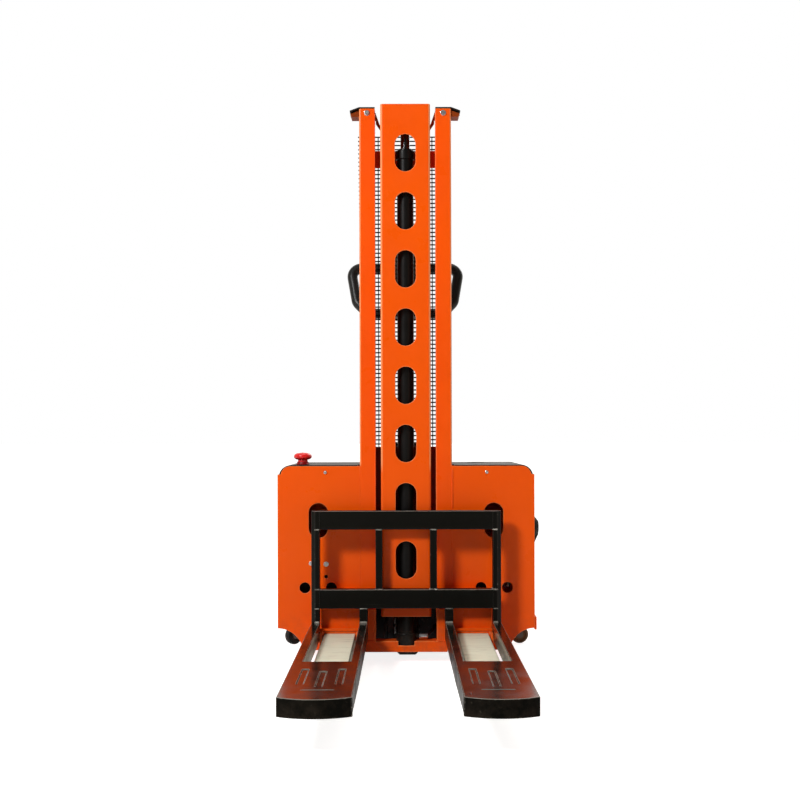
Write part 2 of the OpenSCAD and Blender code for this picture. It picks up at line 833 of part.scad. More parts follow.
// Steering shaft, flange and the fork that holds the tiller's pivot pin
module tiller_base() {
    color(dark_grey) placed() {
        translate([0, drive_y, 0]) bar_z(18, brake_top, flange_z);
        translate([0, drive_y, 0]) bar_z(50, flange_z, flange_z + flange_t);
        for (s = [-1, 1]) mirror([s < 0 ? 1 : 0, 0, 0])
            yz(ear_in, ear_in + ear_t) {
                translate([pivot_y, pivot_z]) circle(boss_r);
                polygon([[drive_y - 10, flange_z + 1], [pivot_y + boss_r, flange_z + 1],
                         [pivot_y + boss_r, pivot_z], [pivot_y - boss_r, pivot_z]]);
            }
        block([-ear_in - ear_t, drive_y, flange_z], [ear_in + ear_t, pivot_y + boss_r, flange_z + flange_t]);
        translate([0, pivot_y, pivot_z]) bar_x(pivot_d / 2, -ear_in - ear_t - 3, ear_in + ear_t + 3);
    }
}

// Tiller arm: pivot boss and a flat tube up to the head
module tiller_arm() {
    color(frame_black) on_tiller() difference() {
        union() {
            bar_x(boss_r, -ear_in + clear, ear_in - clear);
            xy(0, arm_len) round_rect(arm_w, arm_t, 12);
        }
        bar_x(pivot_d / 2 + run_gap, -ear_in, ear_in);
    }
}

function unit(v) = v / norm(v);

// Signed turn between two flat directions
function turn(a, b) = atan2(cross(a, b), a * b);

// Points along a flat path whose inner corners are bent to one radius
function bent_path(points, bend, steps) = [
    points[0],
    for (i = [1 : len(points) - 2])
        let (a = unit(points[i] - points[i - 1]), b = unit(points[i + 1] - points[i]), angle = turn(a, b),
             start = points[i] - a * bend * tan(abs(angle) / 2),
             centre = start + [-a.y, a.x] * sign(angle) * bend, spoke = start - centre)
        for (k = [0 : steps]) let (t = angle * k / steps)
            centre + [spoke.x * cos(t) - spoke.y * sin(t), spoke.x * sin(t) + spoke.y * cos(t)],
    points[len(points) - 1]];

// A tube swept along points: rings of one radius about a fixed side direction, closed at its ends
module swept_tube(path, r, sides, across) {
    n = len(path);
    dirs = [for (i = [0 : n - 1]) unit(path[min(i + 1, n - 1)] - path[max(i - 1, 0)])];
    rings = [for (i = [0 : n - 1])
        let (a = unit(cross(dirs[i], across)), b = cross(dirs[i], a))
        for (k = [0 : sides - 1]) path[i] + r * (a * cos(360 * k / sides) + b * sin(360 * k / sides))];
    walls = [for (i = [0 : n - 2], k = [0 : sides - 1])
        let (p = i * sides, q = p + sides, j = (k + 1) % sides)
        each [[p + k, q + j, p + j], [p + k, q + k, q + j]]];
    ends = [[for (k = [0 : sides - 1]) k], [for (k = [sides - 1 : -1 : 0]) (n - 1) * sides + k]];
    polyhedron(rings, concat(walls, ends));
}

// Tiller head: the body that the hand loops run through
module tiller_head() {
    color(frame_black) on_tiller() difference() {
        union() {
            xz(-head_t / 2, head_t / 2) {
                translate([0, arm_len + 105]) round_rect(2 * head_half, 140, 16);
                polygon([[-34, arm_len], [34, arm_len], [head_half, arm_len + 60],
                         [-head_half, arm_len + 60]]);
            }
            xy(bar_z - 20, head_top) round_rect(76, 38, 10);
        }
        translate([0, 0, throttle_z]) bar_x(shaft_r + run_gap, -head_half - 1, head_half + 1);
        for (x = [-button_x, button_x])
            translate([x, 0, button_z]) bar_y(button_r + clear, head_t / 2 - 10, head_t / 2 + 1);
        xy(pocket_z, head_top + 1) round_rect(belly_w + 2 * clear, belly_d + 2 * clear, 8);
    }
}

// Hand loops: one bent tube from inside the head, round both grips and through its top
module hand_loops() {
    out = handle_w / 2 - grip_d / 2;
    half = bent_path([[0, bar_z], [out, bar_z], [out - 21, bar_z - 123], [out - 57, low_bar_z],
                      [20, low_bar_z]], 30, 6);
    n = len(half);
    path = concat([for (i = [n - 1 : -1 : 1]) [-half[i].x, 0, half[i].y]],
                  [for (i = [1 : n - 1]) [half[i].x, 0, half[i].y]]);
    color(frame_black) on_tiller() swept_tube(path, grip_d / 2, 14, [0, 1, 0]);
}

// Speed control: a shaft through the head with a paddle at each end
module throttle() {
    reach = head_half + 20;
    color(dark_grey) on_tiller() translate([0, 0, throttle_z]) {
        bar_x(shaft_r, -reach, reach);
        for (s = [-1, 1]) mirror([s < 0 ? 1 : 0, 0, 0]) yz(head_half + 2, reach) {
            square([44, 8], center = true);
            for (y = [-22, 22]) translate([y, 0]) circle(4);
            circle(11);
        }
    }
}

// Reversing button on the end of the tiller
module belly_button() {
    color(stop_red) on_tiller()
        xy(pocket_z + belly_travel + 1, head_top + belly_travel + 1) round_rect(belly_w, belly_d, 7.5);
}

// Button for lifting, and one for lowering
module head_button(x) {
    color(stop_red) on_tiller() translate([x, 0, button_z]) {
        bar_y(button_r, head_t / 2 - 5, head_t / 2 + 5);
    }
}

// Outline of the right front panel
module panel_outline() {
    top_half = half_w - lid_side - sheet;
    difference() {
        union() {
            translate([column_out, base_low]) square([half_w - column_out, lid_seam - base_low]);
            translate([column_out, lid_seam - 1])
                square([top_half - column_out, panel_top - panel_corner - lid_seam + 1]);
            translate([column_out, lid_seam - 1])
                square([top_half - panel_corner - column_out, panel_top - lid_seam + 1]);
            intersection() {
                translate([top_half - panel_corner, panel_top - panel_corner]) circle(panel_corner);
                translate([column_out, lid_seam - 1]) square([half_w, 100]);
            }
        }
        translate([half_w, skirt_z - arch_r]) circle(arch_r);
        translate([column_out - 1, base_low - 1])
            square([sleeve_out - column_out + 1 + side_gap, sleeve_top - base_low + 1 + side_gap]);
    }
}

// Front panel with its tall hole, two round holes and screw holes
module front_panel(side) {
    view_x = 266;
    view_z = 425;
    port_z = 221;
    color(orange) on_side(side) xz(0, sheet) difference() {
        panel_outline();
        translate([view_x, view_z]) oblong(view_w, view_h);
        for (x = [227, 307]) translate([x, port_z]) circle(d = port_d);
        if (side < 0) translate([243, 255]) circle(d = screw_d);
    }
}

// Side cover, with the small welded tab that the right one has at its foot
module side_cover(side) {
    color(orange) on_side(side) {
        block([half_w - sheet, sheet, skirt_z], [half_w, body_depth - sheet, lid_seam]);
        if (side > 0) block([half_w, sheet, skirt_z - 6], [half_w + 6, 70, skirt_z + 34]);
    }
}

// Rear cover with two rows of vents
module rear_cover() {
    vent_w = 110;
    vent_h = 8;
    vent_step = 22;
    color(orange) placed() xz(body_depth - sheet, body_depth) difference() {
        union() {
            for (s = [-1, 1]) mirror([s < 0 ? 1 : 0, 0, 0]) difference() {
                panel_outline();
                translate([0, 0]) square([half_w, skirt_z]);
            }
            translate([-column_out - 1, skirt_z]) square([2 * column_out + 2, panel_top - skirt_z]);
        }
        for (s = [-1, 1], i = [0 : 6])
            translate([s * 250, 170 + i * vent_step]) oblong(vent_w, vent_h);
    }
}

// Outline of the right half of the lid: round outside, hollow over the covers
module lid_outline() {
    top_half = half_w - lid_side - sheet;
    difference() {
        intersection() {
            union() {
                translate([-1, 0]) square([lid_half - lid_corner + 1, lid_top]);
                square([lid_half, lid_top - lid_corner]);
                translate([lid_half - lid_corner, lid_top - lid_corner]) circle(lid_corner);
            }
            translate([-2, lid_seam]) square([half_w + 2, 100]);
        }
        translate([-2, lid_seam - 1]) square([top_half - panel_corner + 2, panel_top - lid_seam + 1]);
        translate([-2, lid_seam - 1]) square([top_half + 2, panel_top - panel_corner - lid_seam + 1]);
        translate([top_half - panel_corner, panel_top - panel_corner]) circle(panel_corner);
    }
}

// Lid over the whole body: open in front for the mast, with holes for the tiller and the stop
module top_lid() {
    color(frame_black) placed() difference() {
        xz(0, body_depth) for (s = [-1, 1]) mirror([s < 0 ? 1 : 0, 0, 0]) lid_outline();
        block([-lid_notch_half, -1, lid_seam], [lid_notch_half, lid_notch_y, lid_top + 1]);
        translate([0, drive_y, 0]) bar_z(tiller_hole_r, lid_seam, lid_top + 1);
        translate([-stop_x, stop_y, 0]) bar_z(17 + seat_gap, lid_seam, lid_top + 1);
    }
}

// Traction battery with its lid, two terminals and a carrying strap slot
module battery() {
    left = -half_w + 20;
    right = -column_out - 12;
    color(dark_grey) placed() {
        block([left, 80, tray_z + tray_t], [right, body_depth - 90, 300]);
        block([left - 4, 76, 300], [right + 4, body_depth - 86, 318]);
        for (x = [left + 40, right - 40]) translate([x, 110, 0]) bar_z(9, 318, 332);
        for (i = [0 : 5]) translate([(left + right) / 2, 150 + i * 32, 0]) bar_z(10, 318, 322);
    }
}

// Motor of the hydraulic pump on its saddle
module pump_motor() {
    color(dark_grey) placed() {
        translate([pack_x, 0, pack_z]) {
            bar_y(55, 84, 214);
            bar_y(47, 76, 84);
            bar_y(14, 70, 76);
        }
        block([pack_x - 40, 110, tray_z + tray_t], [pack_x + 40, 180, pack_z - 40]);
    }
}

// Valve block between the motor and the tank, with the outlet for the hose
module valve_block() {
    color(steel) placed() {
        block([pack_x - 52, 214, pack_z - 52], [pack_x + 52, 262, pack_z + 52]);
        translate([pack_x + 20, 238, 0]) bar_z(14, pack_z + 52, pack_z + 100);
        translate([0, hose_y, pack_z - 20]) bar_x(9, pack_x - 66, pack_x - 52);
    }
}

// Oil tank
module oil_tank() {
    color(frame_black) placed() {
        translate([pack_x, 0, pack_z]) xz(262, tank_rear) round_rect(150, 130, 14);
        translate([pack_x, tank_rear - 24, 0]) bar_z(12, pack_z + 60, pack_z + 74);
        block([pack_x - 50, 300, tray_z + tray_t], [pack_x + 50, tank_rear - 6, pack_z - 60]);
    }
}

// Motor controller with its cooling ribs
module controller() {
    color(dark_grey) placed() {
        block([-column_out - 40, box_front, box_low + 20], [-column_out, box_rear - 10, box_top]);
        for (i = [0 : 7])
            block([-column_out - 52, box_front + 6 + i * 20, box_low + 24],
                  [-column_out - 39, box_front + 10 + i * 20, box_top - 4]);
    }
}

// Battery charger
module charger() {
    color(steel) placed() {
        block([column_out, box_front, box_low], [column_out + 60, box_rear, box_top]);
        for (i = [0 : 6])
            block([column_out + 59, box_front + 12 + i * 24, box_low + 6],
                  [column_out + 70, box_front + 16 + i * 24, box_top - 6]);
    }
}

// Points of a smooth curve through the given ones
function spline_point(p0, p1, p2, p3, t) =
    0.5 * (2 * p1 + (p2 - p0) * t + (2 * p0 - 5 * p1 + 4 * p2 - p3) * t * t
           + (3 * p1 - p0 - 3 * p2 + p3) * t * t * t);

function spline(points, steps) =
    let (n = len(points))
    [for (i = [0 : n - 2], k = [0 : steps - 1])
        spline_point(points[max(i - 1, 0)], points[i], points[i + 1], points[min(i + 2, n - 1)], k / steps),
     points[n - 1]];

// Pressure hose from the valve block to the foot of the lift cylinder
module hydraulic_hose() {
    color(rubber_black) placed()
        swept_tube(concat([[barrel_d / 2 + 14, cyl_y, port_z]], spline(hose_route, 3),
                          [[pack_x - 66, hose_y, pack_z - 20]]), hose_r, 10, [1, -1, 1]);
}

// Collar and switch body of the emergency stop
module estop_base() {
    color(frame_black) placed() translate([-stop_x, stop_y, 0]) difference() {
        union() {
            bar_z(17, lid_seam - 20, lid_top + 2);
            bar_z(20, lid_top, lid_top + 2);
            translate([0, 0, lid_top + 2]) cylinder(r1 = 19.5, r2 = 17, h = stop_collar - 2);
            block([-20, -20, lid_seam - 50], [20, 20, lid_seam - 20]);
        }
        bar_z(stop_stem / 2 + run_gap, lid_top - 14, lid_top + stop_collar + 1);
    }
}

// Emergency stop: mushroom head on its stem
module estop_button() {
    r = stop_d / 2;
    low = lid_top + stop_collar + stop_travel + 1;
    color(stop_red) placed() translate([-stop_x, stop_y, 0]) {
        bar_z(stop_stem / 2, lid_top - 8, low + 2);
        translate([0, 0, low]) rotate_extrude() polygon([
            [0, 0], [r - 8, 0], [r - 1, 5], [r, 9], [r - 1, 14], [r - 5, 18], [r - 12, 20.5], [0, 22]]);
    }
}

// Round battery gauge in the lid
module battery_gauge() {
    color(rubber_black) placed() translate([half_w - 160, body_depth - 100, 0]) {
        difference() {
            bar_z(28, lid_top, lid_top + 5);
            bar_z(23, lid_top + 3, lid_top + 6);
        }
    }
}

// Charging socket on the right side cover, with the ears and pin of its cap
module charge_socket() {
    color(rubber_black) placed() {
        translate([0, socket_y, socket_z]) rotate([0, 90, 0]) rotate_extrude()
            polygon([[0, half_w], [socket_d / 2, half_w], [socket_d / 2, half_w + 2],
                     [socket_mouth / 2, half_w + socket_h], [socket_mouth / 2 - 6, half_w + socket_h],
                     [socket_mouth / 2 - 6, half_w + 3], [0, half_w + 3]]);
        for (y = [-15, 10])
            block([half_w, socket_y + y, hinge_z - knuckle_r],
                  [hinge_x + knuckle_r, socket_y + y + 5, hinge_z + knuckle_r]);
        translate([hinge_x, socket_y, hinge_z]) bar_y(hinge_d / 2, -14, 14);
    }
}

// Cap of the charging socket with the strap that hinges it
module charge_cap() {
    back = half_w + socket_h + seat_gap;
    strap = 4;
    color(rubber_black) placed() difference() {
        union() {
            translate([0, socket_y, socket_z]) rotate([0, 90, 0]) rotate_extrude()
                polygon([[0, back], [socket_mouth / 2, back], [socket_mouth / 2, back + 2],
                         [cap_face / 2, back + cap_h - 0.5], [cap_face / 2 - 3, back + cap_h],
                         [14, back + cap_h - 1], [10, back + cap_h], [0, back + cap_h]]);
            translate([hinge_x, socket_y, hinge_z]) bar_y(knuckle_r, -9, 9);
            translate([0, socket_y + 9, 0]) rotate([90, 0, 0]) linear_extrude(18)
                polygon([[hinge_x - 1, hinge_z + 2.8], [hinge_x + 3.6, hinge_z - 1.5],
                         [back + cap_h - 1, socket_z - cap_face / 2 - 4],
                         [back + cap_h - 1, socket_z - cap_face / 2 + 3],
                         [back + cap_h - strap - 2, socket_z - cap_face / 2 - 2]]);
        }
        translate([hinge_x, socket_y, hinge_z]) bar_y(hinge_d / 2 + run_gap, -15, 15);
    }
}

// Top plates of the two casters, with the swivel pin of each
module caster_plates() {
    half = caster_plate / 2;
    color(steel) for (s = [-1, 1]) on_side(s) translate([caster_x, caster_y, 0]) {
        block([-half, -half, caster_top], [half, half, caster_top + caster_plate_t]);
        bar_z(6, caster_top - 18, caster_top);
        bar_z(22, caster_top - 5, caster_top);
    }
}

// Everything of a caster that swivels, turned about its swivel axis
module swivelled(side, angle) {
    placed() translate([side * caster_x, caster_y, 0]) rotate([0, 0, angle]) children();
}

// Caster fork: crown round the swivel pin and two cheeks that carry the wheel's axle
module caster_fork(side, angle) {
    cheek = 3;
    inner = caster_w / 2 + 1.5;
    crown_low = caster_top - 5 - seat_gap - 13;
    color(steel) swivelled(side, angle) difference() {
        union() {
            bar_z(21, crown_low + 3, caster_top - 5 - seat_gap);
            block([-inner - cheek, -16, crown_low], [inner + cheek, caster_trail + 12, crown_low + 4]);
            for (s = [-1, 1]) mirror([s < 0 ? 1 : 0, 0, 0]) yz(inner, inner + cheek) {
                polygon([[-14, crown_low + 4], [caster_trail + 12, crown_low + 4],
                         [caster_trail + 10, caster_r], [caster_trail - 10, caster_r - 4]]);
                translate([caster_trail, caster_r]) circle(10);
            }
            translate([0, caster_trail, caster_r]) bar_x(5, -inner - cheek - 3, inner + cheek + 3);
        }
        bar_z(6 + run_gap, crown_low - 1, caster_top);
    }
}

// Caster wheel
module caster_wheel(side, angle) {
    w = caster_w / 2;
    r = caster_r;
    color(rubber_black) swivelled(side, angle) translate([0, caster_trail, r])
        rotate([0, 90, 0]) rotate_extrude()
        polygon([[5 + run_gap, -w - 1], [9, -w - 1], [9, -w + 3], [r - 10, -w + 3], [r - 8, -w], [r - 3, -w],
                 [r, -w + 5], [r, w - 5], [r - 3, w], [r - 8, w], [r - 10, w - 3], [9, w - 3], [9, w + 1],
                 [5 + run_gap, w + 1]]);
}

// Screws and bolts that show: column bolts, panel screws and the studs beside the mast
module fasteners() {
    color(steel) placed() {
        for (s = [-1, 1]) {
            translate([s * (column_in + column_w / 2), 0, column_top - 14]) bar_y(bolt_d / 2, -6, 0);
            translate([s * 245, 0, lid_seam + 6]) bar_y(screw_d / 2, -3, 0);
        }
        translate([-243, 0, 293]) bar_y(7.5, -8, 0);
        translate([-289, 0, 295]) bar_y(6, -5, 0);
        for (s = [-1, 1], y = [90, body_depth - 60], z = [skirt_z + 20, lid_seam - 20, lid_seam - 85])
            translate([0, y, z]) bar_x(5, s < 0 ? -half_w - 3 : half_w, s < 0 ? -half_w : half_w + 3);
    }
}

base_frame();
drive_mount();
mast_column(-1);  // mast_column_left
mast_column(1);  // mast_column_right
mast_back_plate();
mast_cross_member();
mast_top_bracket();
column_caps();
wire_guard();
lift_cylinder();
leg_sleeve(-1);  // leg_sleeve_left
leg_sleeve(1);  // leg_sleeve_right
front_panel(-1);  // front_panel_left
front_panel(1);  // front_panel_right
side_cover(-1);  // side_cover_left
side_cover(1);  // side_cover_right
rear_cover();
top_lid();
battery();
pump_motor();
valve_block();
oil_tank();
controller();
charger();
hydraulic_hose();
estop_base();
battery_gauge();
charge_socket();
caster_plates();
fasteners();
inner_mast();
fork_frame();
fork(-1);  // fork_left
fork(1);  // fork_right
lift_rod();
guide_roller(-1, roller_z[0]);  // guide_roller_low_left
guide_roller(1, roller_z[0]);  // guide_roller_low_right
guide_roller(-1, roller_z[1]);  // guide_roller_high_left
guide_roller(1, roller_z[1]);  // guide_roller_high_right
leg_bar(-1);  // leg_bar_left
leg_bar(1);  // leg_bar_right
leg_wheel(-1);  // leg_wheel_left
leg_wheel(1);  // leg_wheel_right
drive_gearbox();
drive_motor();
drive_wheel();
tiller_base();
tiller_arm();
tiller_head();
hand_loops();
throttle();
belly_button();
head_button(-button_x);  // lift_button
head_button(button_x);  // lower_button
caster_fork(-1, left_turn);  // caster_fork_left
caster_fork(1, right_turn);  // caster_fork_right
caster_wheel(-1, left_turn);  // caster_wheel_left
caster_wheel(1, right_turn);  // caster_wheel_right
estop_button();
charge_cap();
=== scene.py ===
"""Self-loading stacker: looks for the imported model, seen as in the photograph.

Every piece is in metres in the part's own frame: +Z up, forks towards -Y.
"""
import json
import math

import bmesh
import bpy
from mathutils import Matrix, Vector, noise


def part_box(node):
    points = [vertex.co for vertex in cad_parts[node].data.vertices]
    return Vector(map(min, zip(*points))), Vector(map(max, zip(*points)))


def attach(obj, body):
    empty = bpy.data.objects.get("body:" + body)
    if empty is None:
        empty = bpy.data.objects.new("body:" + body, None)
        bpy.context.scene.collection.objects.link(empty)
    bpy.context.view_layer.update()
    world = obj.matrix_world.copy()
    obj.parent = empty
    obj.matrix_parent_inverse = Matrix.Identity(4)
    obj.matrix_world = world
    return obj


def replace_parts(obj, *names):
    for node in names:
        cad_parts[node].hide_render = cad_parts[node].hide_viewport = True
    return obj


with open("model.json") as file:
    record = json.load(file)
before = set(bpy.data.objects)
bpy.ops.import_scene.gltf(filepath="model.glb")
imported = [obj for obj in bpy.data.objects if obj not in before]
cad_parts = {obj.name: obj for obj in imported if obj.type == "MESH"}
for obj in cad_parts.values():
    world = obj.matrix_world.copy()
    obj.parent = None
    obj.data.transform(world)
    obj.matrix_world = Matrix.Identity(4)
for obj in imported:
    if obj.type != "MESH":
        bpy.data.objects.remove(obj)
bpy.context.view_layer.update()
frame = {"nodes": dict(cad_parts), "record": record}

RECORD = frame["record"]
BODY = {node: body for body, nodes in RECORD["behaviour"]["bodies"].items() for node in nodes}
SLOT = {part["node"]: part["material_slot"] for part in RECORD["subparts"]}

# Places that the CAD source fixes, in metres
FRONT = 0.3935                            # the plane of the front panels
COLUMN_IN, COLUMN_OUT = 0.092, 0.140      # a mast column's two sides
COLUMN_TOP = 1.677
BODY_HALF = 0.390
BODY_DEPTH = 0.430
FRAME_FRONT, FRAME_BACK = -0.093, -0.053  # the fork frame's faces
FORK_TOP = 0.127
FORWARD, BACKWARD = (0, -1, 0), (0, 1, 0)


def at(x, y, z):
    """A point with Y counted from the front panels, as in the CAD source."""
    return Vector((x, FRONT + y, z))


def finished(name, bm, materials, body, limit=48, weighted=True):
    """Turns a bmesh into a smooth-shaded piece that rides on a body."""
    mesh = bpy.data.meshes.new(name)
    bm.to_mesh(mesh)
    bm.free()
    for material in materials:
        mesh.materials.append(material)
    mesh.polygons.foreach_set("use_smooth", [True] * len(mesh.polygons))
    mesh.set_sharp_from_angle(angle=math.radians(limit))
    obj = bpy.data.objects.new(name, mesh)
    bpy.context.scene.collection.objects.link(obj)
    if weighted:
        obj.modifiers.new("Even normals", "WEIGHTED_NORMAL").keep_sharp = True
    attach(obj, body)
    return obj


# Nodes whose inner corners stay sharp, because a moving piece runs in them
SHARP_INSIDE = ("tiller_head", "tiller_base", "tiller_arm")
ROUNDED_ANGLE = math.radians(28)     # edges that turn more than this are rounded
WINDOW_INSET = 0.004                 # faces further inside than this belong to an opening


def round_edges(bm, width, segments, edge_material, inner):
    """Rounds the sharp edges, and inner corners too unless a moving piece needs them sharp."""
    edges = []
    for edge in bm.edges:
        if len(edge.link_faces) == 2:
            turn = edge.calc_face_angle_signed(0)
            if (abs(turn) if inner else turn) > ROUNDED_ANGLE:
                edges.append(edge)
    if edges:
        bmesh.ops.bevel(bm, geom=edges, offset=width, offset_type="OFFSET", segments=segments,
                        profile=0.5, affect="EDGES", clamp_overlap=False, material=edge_material)


def skin(node, material, width, segments, edge=None, upright=None):
    """A copy of a CAD solid with rounded edges, which stands for it.

    Its edges may have their own, lighter paint, partly a painted highlight and partly wear,
    and so may its upright faces have their own paint, apart from an opening's walls.
    """
    bm = bmesh.new()
    bm.from_mesh(frame["nodes"][node].data)
    bmesh.ops.remove_doubles(bm, verts=bm.verts, dist=2e-5)
    bmesh.ops.dissolve_limit(bm, angle_limit=math.radians(0.5), verts=bm.verts, edges=bm.edges)
    bm.normal_update()
    low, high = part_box(node)
    for face in bm.faces:
        x = face.calc_center_median().x
        wall = abs(face.normal.x) > 0.9 and low[0] + WINDOW_INSET < x < high[0] - WINDOW_INSET
        face.material_index = 2 if upright and abs(face.normal.z) < 0.5 and not wall else 0
    round_edges(bm, width, segments, 1 if edge else -1, node not in SHARP_INSIDE)
    materials = [m for m in (material, edge, upright) if m]
    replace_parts(finished(node + "_skin", bm, materials, BODY[node]), node)


def repaint(node, material, wanted):
    """Gives another material to the faces of a skin that a test picks."""
    mesh = bpy.data.objects[node + "_skin"].data
    mesh.materials.append(material)
    for face in mesh.polygons:
        if wanted(mesh, face):
            face.material_index = len(mesh.materials) - 1


def angles_round(count):
    """Angles spaced evenly round a circle."""
    return [2 * math.pi * k / count for k in range(count)]


def band(bm, low, high):
    """Joins two rings of vertices by faces; one of them may be a single vertex."""
    count = max(len(low), len(high))
    for k in range(count):
        j = (k + 1) % count
        if len(low) == 1:
            bm.faces.new((low[0], high[k], high[j]))
        elif len(high) == 1:
            bm.faces.new((low[k], low[j], high[0]))
        else:
            bm.faces.new((low[k], low[j], high[j], high[k]))


def lathe(bm, profile, matrix, segments):
    """Turns (radius, height) points round the local Z axis."""
    rings = []
    for radius, height in profile:
        if radius < 1e-7:
            points = [Vector((0, 0, height))]
        else:
            points = [Vector((radius * math.cos(a), radius * math.sin(a), height))
                      for a in angles_round(segments)]
        rings.append([bm.verts.new(matrix @ point) for point in points])
    for low, high in zip(rings, rings[1:]):
        band(bm, low, high)


def cap_ends(bm):
    """Closes every open rim and turns all faces outwards."""
    rims = [e for e in bm.edges if e.is_boundary]
    if rims:
        bmesh.ops.holes_fill(bm, edges=rims, sides=0)
    bmesh.ops.recalc_face_normals(bm, faces=bm.faces)


def tube(bm, path, radius, sides):
    """A round bar along points; radius is a number or a function of the place from 0 to 1."""
    last = len(path) - 1
    side = None
    rings = []
    for i, point in enumerate(path):
        along = (path[min(i + 1, last)] - path[max(i - 1, 0)]).normalized()
        if side is None:
            helper = Vector((0, 0, 1)) if abs(along.z) < 0.9 else Vector((1, 0, 0))
            side = along.cross(helper).normalized()
        else:
            side = (side - along * side.dot(along)).normalized()
        up = along.cross(side)
        r = radius(i / last) if callable(radius) else radius
        rings.append([bm.verts.new(point + side * (r * math.cos(a)) + up * (r * math.sin(a)))
                      for a in angles_round(sides)])
    for low, high in zip(rings, rings[1:]):
        band(bm, low, high)
    bm.faces.new(list(reversed(rings[0])))
    bm.faces.new(rings[-1])


def prism(bm, outline, height, matrix):
    """A flat outline raised along the local Z axis."""
    low = [bm.verts.new(matrix @ Vector((x, y, 0))) for x, y in outline]
    high = [bm.verts.new(matrix @ Vector((x, y, height))) for x, y in outline]
    bm.faces.new(list(reversed(low)))
    bm.faces.new(high)
    band(bm, low, high)


def polygon(sides, radius, turn):
    """The corners of a regular polygon."""
    return [(radius * math.cos(turn + a), radius * math.sin(turn + a)) for a in angles_round(sides)]


def facing(point, normal):
    """A matrix whose local Z axis points along a normal, at a point."""
    return Matrix.Translation(point) @ Vector(normal).to_track_quat("Z", "Y").to_matrix().to_4x4()


def spline(points, steps):
    """A smooth curve through points, as the CAD source draws it."""
    out = []
    for i in range(len(points) - 1):
        p0, p1 = points[max(i - 1, 0)], points[i]
        p2, p3 = points[i + 1], points[min(i + 2, len(points) - 1)]
        for k in range(steps):
            t = k / steps
            out.append(0.5 * (2 * p1 + (p2 - p0) * t + (2 * p0 - 5 * p1 + 4 * p2 - p3) * t * t
                              + (3 * p1 - p0 - 3 * p2 + p3) * t ** 3))
    out.append(points[-1])
    return out


def add_node(tree, kind, inputs=None, **settings):
    """Adds a shader node with its settings; an input is a value or another node's output."""
    node = tree.nodes.new(kind)
    for key, value in settings.items():
        setattr(node, key, value)
    for key, value in (inputs or {}).items():
        if hasattr(value, "links"):
            tree.links.new(value, node.inputs[key])
        else:
            node.inputs[key].default_value = value
    return node


def add_mix(tree, factor, a, b):
    """Adds a mix of two colours, each of them an output or three numbers, and returns its output."""
    first, second = (c if hasattr(c, "links") else (*c, 1.0) for c in (a, b))
    inputs = {"Factor": factor, 6: first, 7: second}
    return add_node(tree, "ShaderNodeMix", inputs, data_type="RGBA").outputs[2]


class Shader:
    """A Principled material with short ways to add its procedural nodes."""

    def __init__(self, name, metallic=0.0, coat=0.0, coat_roughness=0.1, specular=0.5):
        self.material = bpy.data.materials.new(name)
        self.material.use_nodes = True
        self.tree = self.material.node_tree
        self.bsdf = self.tree.nodes["Principled BSDF"]
        for socket, value in (("Metallic", metallic), ("Coat Weight", coat),
                              ("Coat Roughness", coat_roughness), ("Specular IOR Level", specular)):
            self.bsdf.inputs[socket].default_value = value
        self.coords = self.node("ShaderNodeTexCoord").outputs["Object"]

    def node(self, kind, inputs=None, **settings):
        return add_node(self.tree, kind, inputs, **settings)

    def noise(self, scale, detail=3.0, roughness=0.55, stretch=None, distortion=0.0):
        """Cloudy noise from 0 to 1, finer along an axis where the stretch is larger."""
        vector = self.coords
        if stretch:
            vector = self.node("ShaderNodeMapping", {"Vector": vector, "Scale": stretch}).outputs["Vector"]
        inputs = {"Vector": vector, "Scale": scale, "Detail": detail, "Roughness": roughness,
                  "Distortion": distortion}
        return self.node("ShaderNodeTexNoise", inputs).outputs["Fac"]

    def remap(self, value, low, high, out_low=0.0, out_high=1.0):
        """Turns the range from low to high into the one from out_low to out_high, and cuts off the rest."""
        inputs = {"Value": value, "From Min": low, "From Max": high, "To Min": out_low, "To Max": out_high}
        return self.node("ShaderNodeMapRange", inputs).outputs["Result"]

    def math(self, operation, a, b=0.5):
        return self.node("ShaderNodeMath", {0: a, 1: b}, operation=operation).outputs["Value"]

    def mix(self, factor, a, b):
        return add_mix(self.tree, factor, a, b)

    def facing(self, axis):
        """How far the surface faces along an axis, from -1 to 1."""
        normal = self.node("ShaderNodeNewGeometry").outputs["Normal"]
        return self.node("ShaderNodeSeparateXYZ", {"Vector": normal}).outputs[axis]

    def height(self):
        return self.node("ShaderNodeSeparateXYZ", {"Vector": self.coords}).outputs["Z"]

    def bump(self, height, strength, distance, normal=None):
        inputs = {"Height": height, "Strength": strength, "Distance": distance}
        if normal is not None:
            inputs["Normal"] = normal
        return self.node("ShaderNodeBump", inputs).outputs["Normal"]

    def done(self, color, roughness, normal):
        for socket, value in (("Base Color", color), ("Roughness", roughness), ("Normal", normal)):
            self.tree.links.new(value, self.bsdf.inputs[socket])
        return self.material


DIRT = (0.085, 0.062, 0.045)         # colour of the dirt near the floor
DIRT_LOW, DIRT_HIGH = 0.03, 0.16     # heights between which it fades
CORNER_HIGHLIGHT_FADE = (0.57, 0.60)           # heights between which the painted highlight on round corners sets in
